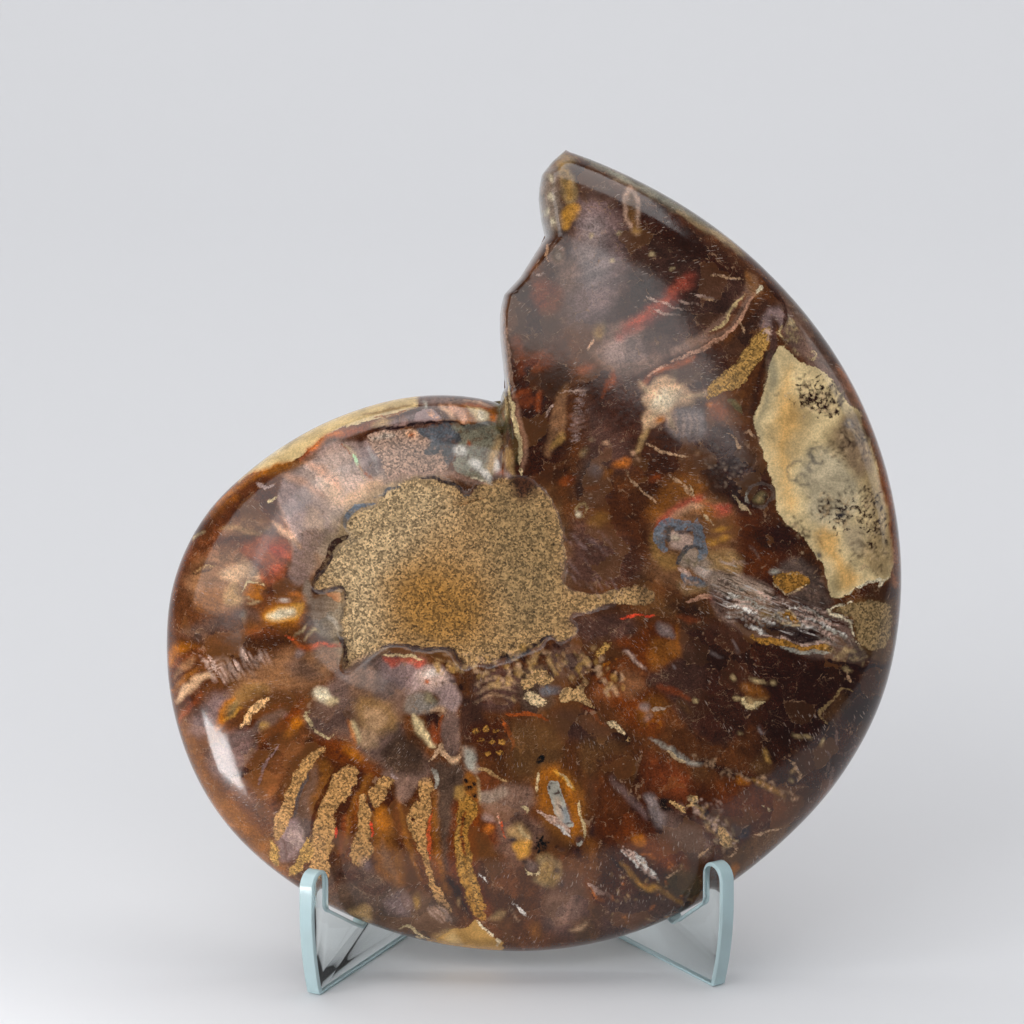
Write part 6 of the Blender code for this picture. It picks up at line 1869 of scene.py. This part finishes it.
    raw_share = layers["ground"].outputs["Alpha"]
    gloss = between(tree, middle, 0.25, 0.75, 0.07, 0.16)
    rough = add(tree, "Mix", {0: raw_share, 2: gloss, 3: 0.9}, data_type="FLOAT").outputs[0]
    rough = maths(tree, "ADD", rough, times(tree, in_sand, 0.12), clamp=True)
    tree.links.new(rough, shader.inputs["Roughness"])
    shader.inputs["IOR"].default_value = 1.5

    grain_bump = times(tree, sandy, raw_share)
    bump = add(tree, "Bump", {"Height": grain_bump, "Distance": GRAIN_DEPTH, "Strength": 0.9})
    faint = {"Height": middle, "Distance": WAVE_DEPTH, "Strength": 0.4, "Normal": bump.outputs[0]}
    faint = add(tree, "Bump", faint)
    tree.links.new(faint.outputs[0], shader.inputs["Normal"])
    return made


# %% [markdown]
# ## The sawn back
# The saw goes through the middle of the coil. It shows the wall as a spiral, the curved partitions
# between the chambers, and the calcite that filled each chamber with its own tone. A spiral shell
# grows by the same share each turn, so one logarithm gives the walls of all the whorls.

# %% Sawn material
SPIRAL_MIDDLE = (3.0, -8.5)
SPIRAL_REACH = 35.1
WHORL_GROWTH = 2.172
CHAMBERS_PER_TURN = 26.0
HOME_START = 0.84
CALCITE_TONES = (
    (0.0, "4a2614"), (0.25, "8a4c1c"), (0.45, "b07a3c"),
    (0.62, "6a5a50"), (0.8, "c8b08a"), (1.0, "5c3420"),
)


def sawn_material():
    made, tree, shader = new_material("sawn_section")
    at = face_place(tree)
    broad = noise_field(tree, at, 0.16, 4.0, 0.6, 0.5)
    middle = noise_field(tree, at, 0.7, 4.0, 0.6)
    fine = noise_field(tree, at, 2.6, 3.0, 0.65)
    radius, turn = polar(tree, at, SPIRAL_MIDDLE)
    radius = plus(tree, radius, swing(tree, middle, 0.8))
    inwards = maths(tree, "LOGARITHM", maths(tree, "DIVIDE", SPIRAL_REACH, radius), WHORL_GROWTH)
    depth = plus(tree, inwards, turn)
    whorl = maths(tree, "FLOOR", depth)
    share = maths(tree, "SUBTRACT", depth, whorl)
    unwound = maths(tree, "SUBTRACT", turn, whorl)
    bow = times(tree, maths(tree, "SINE", times(tree, share, pi)), 0.85)
    count = plus(tree, times(tree, unwound, CHAMBERS_PER_TURN), bow)
    count = plus(tree, count, swing(tree, broad, 0.5))
    number = maths(tree, "FLOOR", count)
    within = maths(tree, "ABSOLUTE", maths(tree, "SUBTRACT", maths(tree, "SUBTRACT", count, number), 0.5))
    chamber = add(tree, "CombineXYZ", {0: number, 1: whorl, 2: 0.0}).outputs[0]
    random = add(tree, "TexWhiteNoise", {"Vector": chamber}, noise_dimensions="3D").outputs["Value"]

    # calcite in the chambers: amber against the walls, paler and greyer in the middle
    filling = add(tree, "ValToRGB", {0: random})
    ramp = filling.color_ramp
    while len(ramp.elements) < len(CALCITE_TONES):
        ramp.elements.new(0.5)
    for stop, (position, code) in zip(ramp.elements, CALCITE_TONES):
        stop.position, stop.color = position, solid(code)
    heart = times(tree, between(tree, within, 0.36, 0.1), between(tree, broad, 0.42, 0.58))
    calcite = mixed(tree, heart, filling.outputs[0], solid("cdbb9c"))
    ring = between(tree, within, 0.42, 0.36)
    calcite = mixed(tree, ring, solid("7a3c12"), calcite)

    # the last part of the coil was the home of the animal and is full of mud
    mud = mixed(tree, between(tree, middle, 0.35, 0.65), solid("5e4632"), solid("947550"))
    home = between(tree, unwound, HOME_START, HOME_START + 0.004)
    colour = mixed(tree, home, calcite, mud)

    # shell walls and partitions, dark lines with a pale core
    partition = between(tree, within, 0.455, 0.475)
    partition = times(tree, partition, maths(tree, "SUBTRACT", 1.0, home))
    off_middle = maths(tree, "ABSOLUTE", maths(tree, "SUBTRACT", share, 0.5))
    to_wall = times(tree, maths(tree, "SUBTRACT", 0.5, off_middle), radius)
    wall = between(tree, to_wall, 1.5, 1.1)
    wall_core = between(tree, to_wall, 0.8, 0.5)
    colour = mixed(tree, partition, colour, solid("2c160c"))
    colour = mixed(tree, wall, colour, solid("38200f"))
    colour = mixed(tree, wall_core, colour, solid("a98c62"))
    cloud, speckle = between(tree, broad, 0.3, 0.7, 0.78, 1.22), between(tree, fine, 0.3, 0.7, 0.72, 1.25)
    shade = times(tree, cloud, speckle)
    tree.links.new(scaled(tree, colour, shade), shader.inputs["Base Color"])
    tree.links.new(between(tree, middle, 0.25, 0.75, 0.14, 0.3), shader.inputs["Roughness"])
    shader.inputs["IOR"].default_value = 1.55
    return made


# %% [markdown]
# ## Both finishes on one stone
# One stone has two finishes: polish in front and a lapped cut behind. It could be parted into two
# meshes, but one mesh with two materials keeps the stone whole. A face belongs to the cut when it
# looks straight back, and only edges sharper than a limit are shown as edges.

# %% Give each face its finish
POLISHED, SAWN = 0, 1
FACING = 0.99
SHARPEST_SMOOTH = radians(55.0)
BEHIND = (face_to_room.to_3x3() @ Vector((0.0, 0.0, -1.0))).normalized()

skin.data.materials.append(stone_material())
skin.data.materials.append(sawn_material())
for face in skin.data.polygons:
    face.material_index = SAWN if face.normal.dot(BEHIND) > FACING else POLISHED
deselect_all()
skin.select_set(True)
bpy.context.view_layer.objects.active = skin
bpy.ops.object.shade_smooth_by_angle(angle=SHARPEST_SMOOTH)
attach(skin, "root")
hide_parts("ammonite_half")
print("sawn faces:", sum(face.material_index == SAWN for face in skin.data.polygons))

# %% [markdown]
# ## The clear stand
# Each plate is cut from clear sheet. The faces are polished and clear. The sawn edges are finely
# frosted, and their pale sea-green tint is painted glow, standing in for the light that runs inside the
# sheet and gathers at them. A small bevel takes the sharpness off them.

# %% Clear sheet with frosted edges
EDGE_SOFTENING = 0.3
CLEAR_IOR = 1.49
FLAT_ANGLE = radians(1.0)
PLATE_SMOOTH = radians(30.0)


def clear_material(name, tint, frost, clearness):
    made, tree, shader = new_material(name)
    at = face_place(tree)
    shader.inputs["Base Color"].default_value = solid(tint)
    shader.inputs["Transmission Weight"].default_value = clearness
    shader.inputs["IOR"].default_value = CLEAR_IOR
    smear = between(tree, noise_field(tree, at, 0.35, 3.0, 0.6), 0.3, 0.7, frost, frost + 0.03)
    tree.links.new(smear, shader.inputs["Roughness"])
    return made


clear_faces = clear_material("clear_sheet", "f4fbfb", 0.0, 1.0)
# The edge material paints a pale sea-green glow into its colour, over the real frosting.
frosted_glow_edges = clear_material("frosted_glow_edge", "cfe8ec", 0.12, 0.4)
for name in ("stand_left_plate", "stand_right_plate"):
    plate = copy_of(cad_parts[name], name.replace("stand", "clear"))
    faces = plate.data.polygons
    broadside = max(faces, key=lambda face: face.area).normal.copy()
    deselect_all()
    plate.select_set(True)
    bpy.context.view_layer.objects.active = plate
    plate.data.materials.clear()
    plate.data.materials.append(clear_faces)
    plate.data.materials.append(frosted_glow_edges)
    bpy.ops.object.mode_set(mode="EDIT")
    bpy.ops.mesh.select_all(action="SELECT")
    bpy.ops.mesh.dissolve_limited(angle_limit=FLAT_ANGLE)
    bpy.ops.mesh.select_mode(type="EDGE")
    bpy.ops.mesh.select_all(action="DESELECT")
    sheet = bmesh.from_edit_mesh(plate.data)
    for edge in sheet.edges:
        flat = [abs(face.normal.dot(broadside)) > FACING for face in edge.link_faces]
        edge.select_set(len(flat) == 2 and flat[0] != flat[1])
    bmesh.update_edit_mesh(plate.data)
    bpy.ops.mesh.bevel(offset=EDGE_SOFTENING * MM, segments=2, clamp_overlap=True)
    bpy.ops.object.mode_set(mode="OBJECT")
    for face in plate.data.polygons:
        face.material_index = 0 if abs(face.normal.dot(broadside)) > FACING else 1
    bpy.ops.object.shade_smooth_by_angle(angle=PLATE_SMOOTH)
    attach(plate, "root")
    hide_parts(name)
    print(plate.name, len(plate.data.polygons), "faces")

# %% [markdown]
# ## Pale sweep
# The object stands on a pale sweep: a sheet of paper that curves up into a wall far behind, so that
# no table edge shows. A flat floor and a wall would leave a line, so the profile is drawn as one
# curve and pulled sideways. It lies a hair below the feet, so that no two faces share one plane.

# %% Pale sweep
SWEEP_WIDTH = 4.0
SWEEP_FRONT = -0.17
SWEEP_BACK = 1.1
SWEEP_RADIUS = 0.5
SWEEP_TOP = 2.4
SWEEP_DROP = 0.1 * MM
CURVE_STEPS = 12
PAPER = (0.74, 0.745, 0.765, 1.0)


def make_sweep():
    deselect_all()
    profile = [(SWEEP_FRONT, -SWEEP_DROP), (SWEEP_BACK - SWEEP_RADIUS, -SWEEP_DROP)]
    for step in range(1, CURVE_STEPS + 1):
        turn = step / CURVE_STEPS * pi / 2
        profile.append((SWEEP_BACK - SWEEP_RADIUS * (1 - sin(turn)), SWEEP_RADIUS * (1 - cos(turn))))
    profile.append((SWEEP_BACK, SWEEP_TOP))
    data = bpy.data.meshes.new("sweep")
    corners = [(side * SWEEP_WIDTH / 2, y, z) for y, z in profile for side in (-1, 1)]
    faces = [(2 * k, 2 * k + 1, 2 * k + 3, 2 * k + 2) for k in range(len(profile) - 1)]
    data.from_pydata(corners, [], faces)
    data.shade_smooth()
    made = bpy.data.objects.new("sweep", data)
    bpy.context.scene.collection.objects.link(made)
    paper, tree, shader = new_material("pale_paper")
    shader.inputs["Base Color"].default_value = PAPER
    shader.inputs["Roughness"].default_value = 0.7
    made.data.materials.append(paper)
    return made


print("sweep corners:", len(make_sweep().data.vertices))

# %% [markdown]
# ## Soft lights
# Product photographs are lit by large soft boxes and white cards, which leave broad pale mirrors
# and soft shadows. Lamps behind cloth could be built, but area lights of the same sizes do the same
# with less noise. The small low card gives the bright glint low on the fossil's left flank.

# %% Lights and the room
OBJECT_MIDDLE = (0.0, 0.0, 0.075)
ROOM_COLOUR = (0.85, 0.88, 0.95, 1.0)
ROOM_STRENGTH = 0.13


def soft_light(name, place, target, size, power, colour=(1.0, 1.0, 1.0)):
    data = bpy.data.lights.new(name, "AREA")
    data.shape = "RECTANGLE"
    data.size, data.size_y = size
    data.energy = power
    data.color = colour
    made = bpy.data.objects.new(name, data)
    made.location = place
    made.rotation_euler = (Vector(target) - Vector(place)).to_track_quat("-Z", "Y").to_euler()
    bpy.context.scene.collection.objects.link(made)
    return made


soft_light("front_above", (-0.1, -1.3, 1.0), OBJECT_MIDDLE, (1.3, 0.7), 6.2)
soft_light("key_left", (-1.0, -0.9, 1.0), OBJECT_MIDDLE, (1.25, 1.25), 9.2)
soft_light("side_right", (1.4, 0.1, 0.6), OBJECT_MIDDLE, (0.6, 0.8), 2.0)
soft_light("low_card", (-0.145, -0.105, 0.018), (-0.056, -0.028, 0.04), (0.04, 0.04), 0.075)
soft_light("overhead", (0.0, 0.3, 1.6), (0.0, 0.4, 0.0), (1.8, 1.0), 15.0)

room = bpy.data.worlds.new("room")
room.use_nodes = True
sky = room.node_tree.nodes["Background"].inputs
sky["Color"].default_value = ROOM_COLOUR
sky["Strength"].default_value = ROOM_STRENGTH
bpy.context.scene.world = room
bpy.context.scene.view_settings.view_transform = "Standard"

# %% [markdown]
# ## Camera
# The photograph was taken squarely to the leaning face from about an arm's length and a half. A
# camera could be turned by eye, but here it stands on the line straight out of the face's middle.

# %% Camera
CAMERA_REACH = 0.9
LENS, SENSOR = 172.9, 36.0
lens = bpy.data.cameras.new("camera")
lens.lens, lens.sensor_width = LENS, SENSOR
lens.clip_start = 0.05
camera = bpy.data.objects.new("camera", lens)
target = face_to_room @ (Vector((*FACE_MIDDLE, 0.0)) * MM)
camera.location = target + face_to_room.to_3x3() @ Vector((0.0, 0.0, CAMERA_REACH))
camera.rotation_euler = (FACE_TILT, 0.0, 0.0)
bpy.context.scene.collection.objects.link(camera)
bpy.context.scene.camera = camera
print("camera at", [round(value, 3) for value in camera.location])
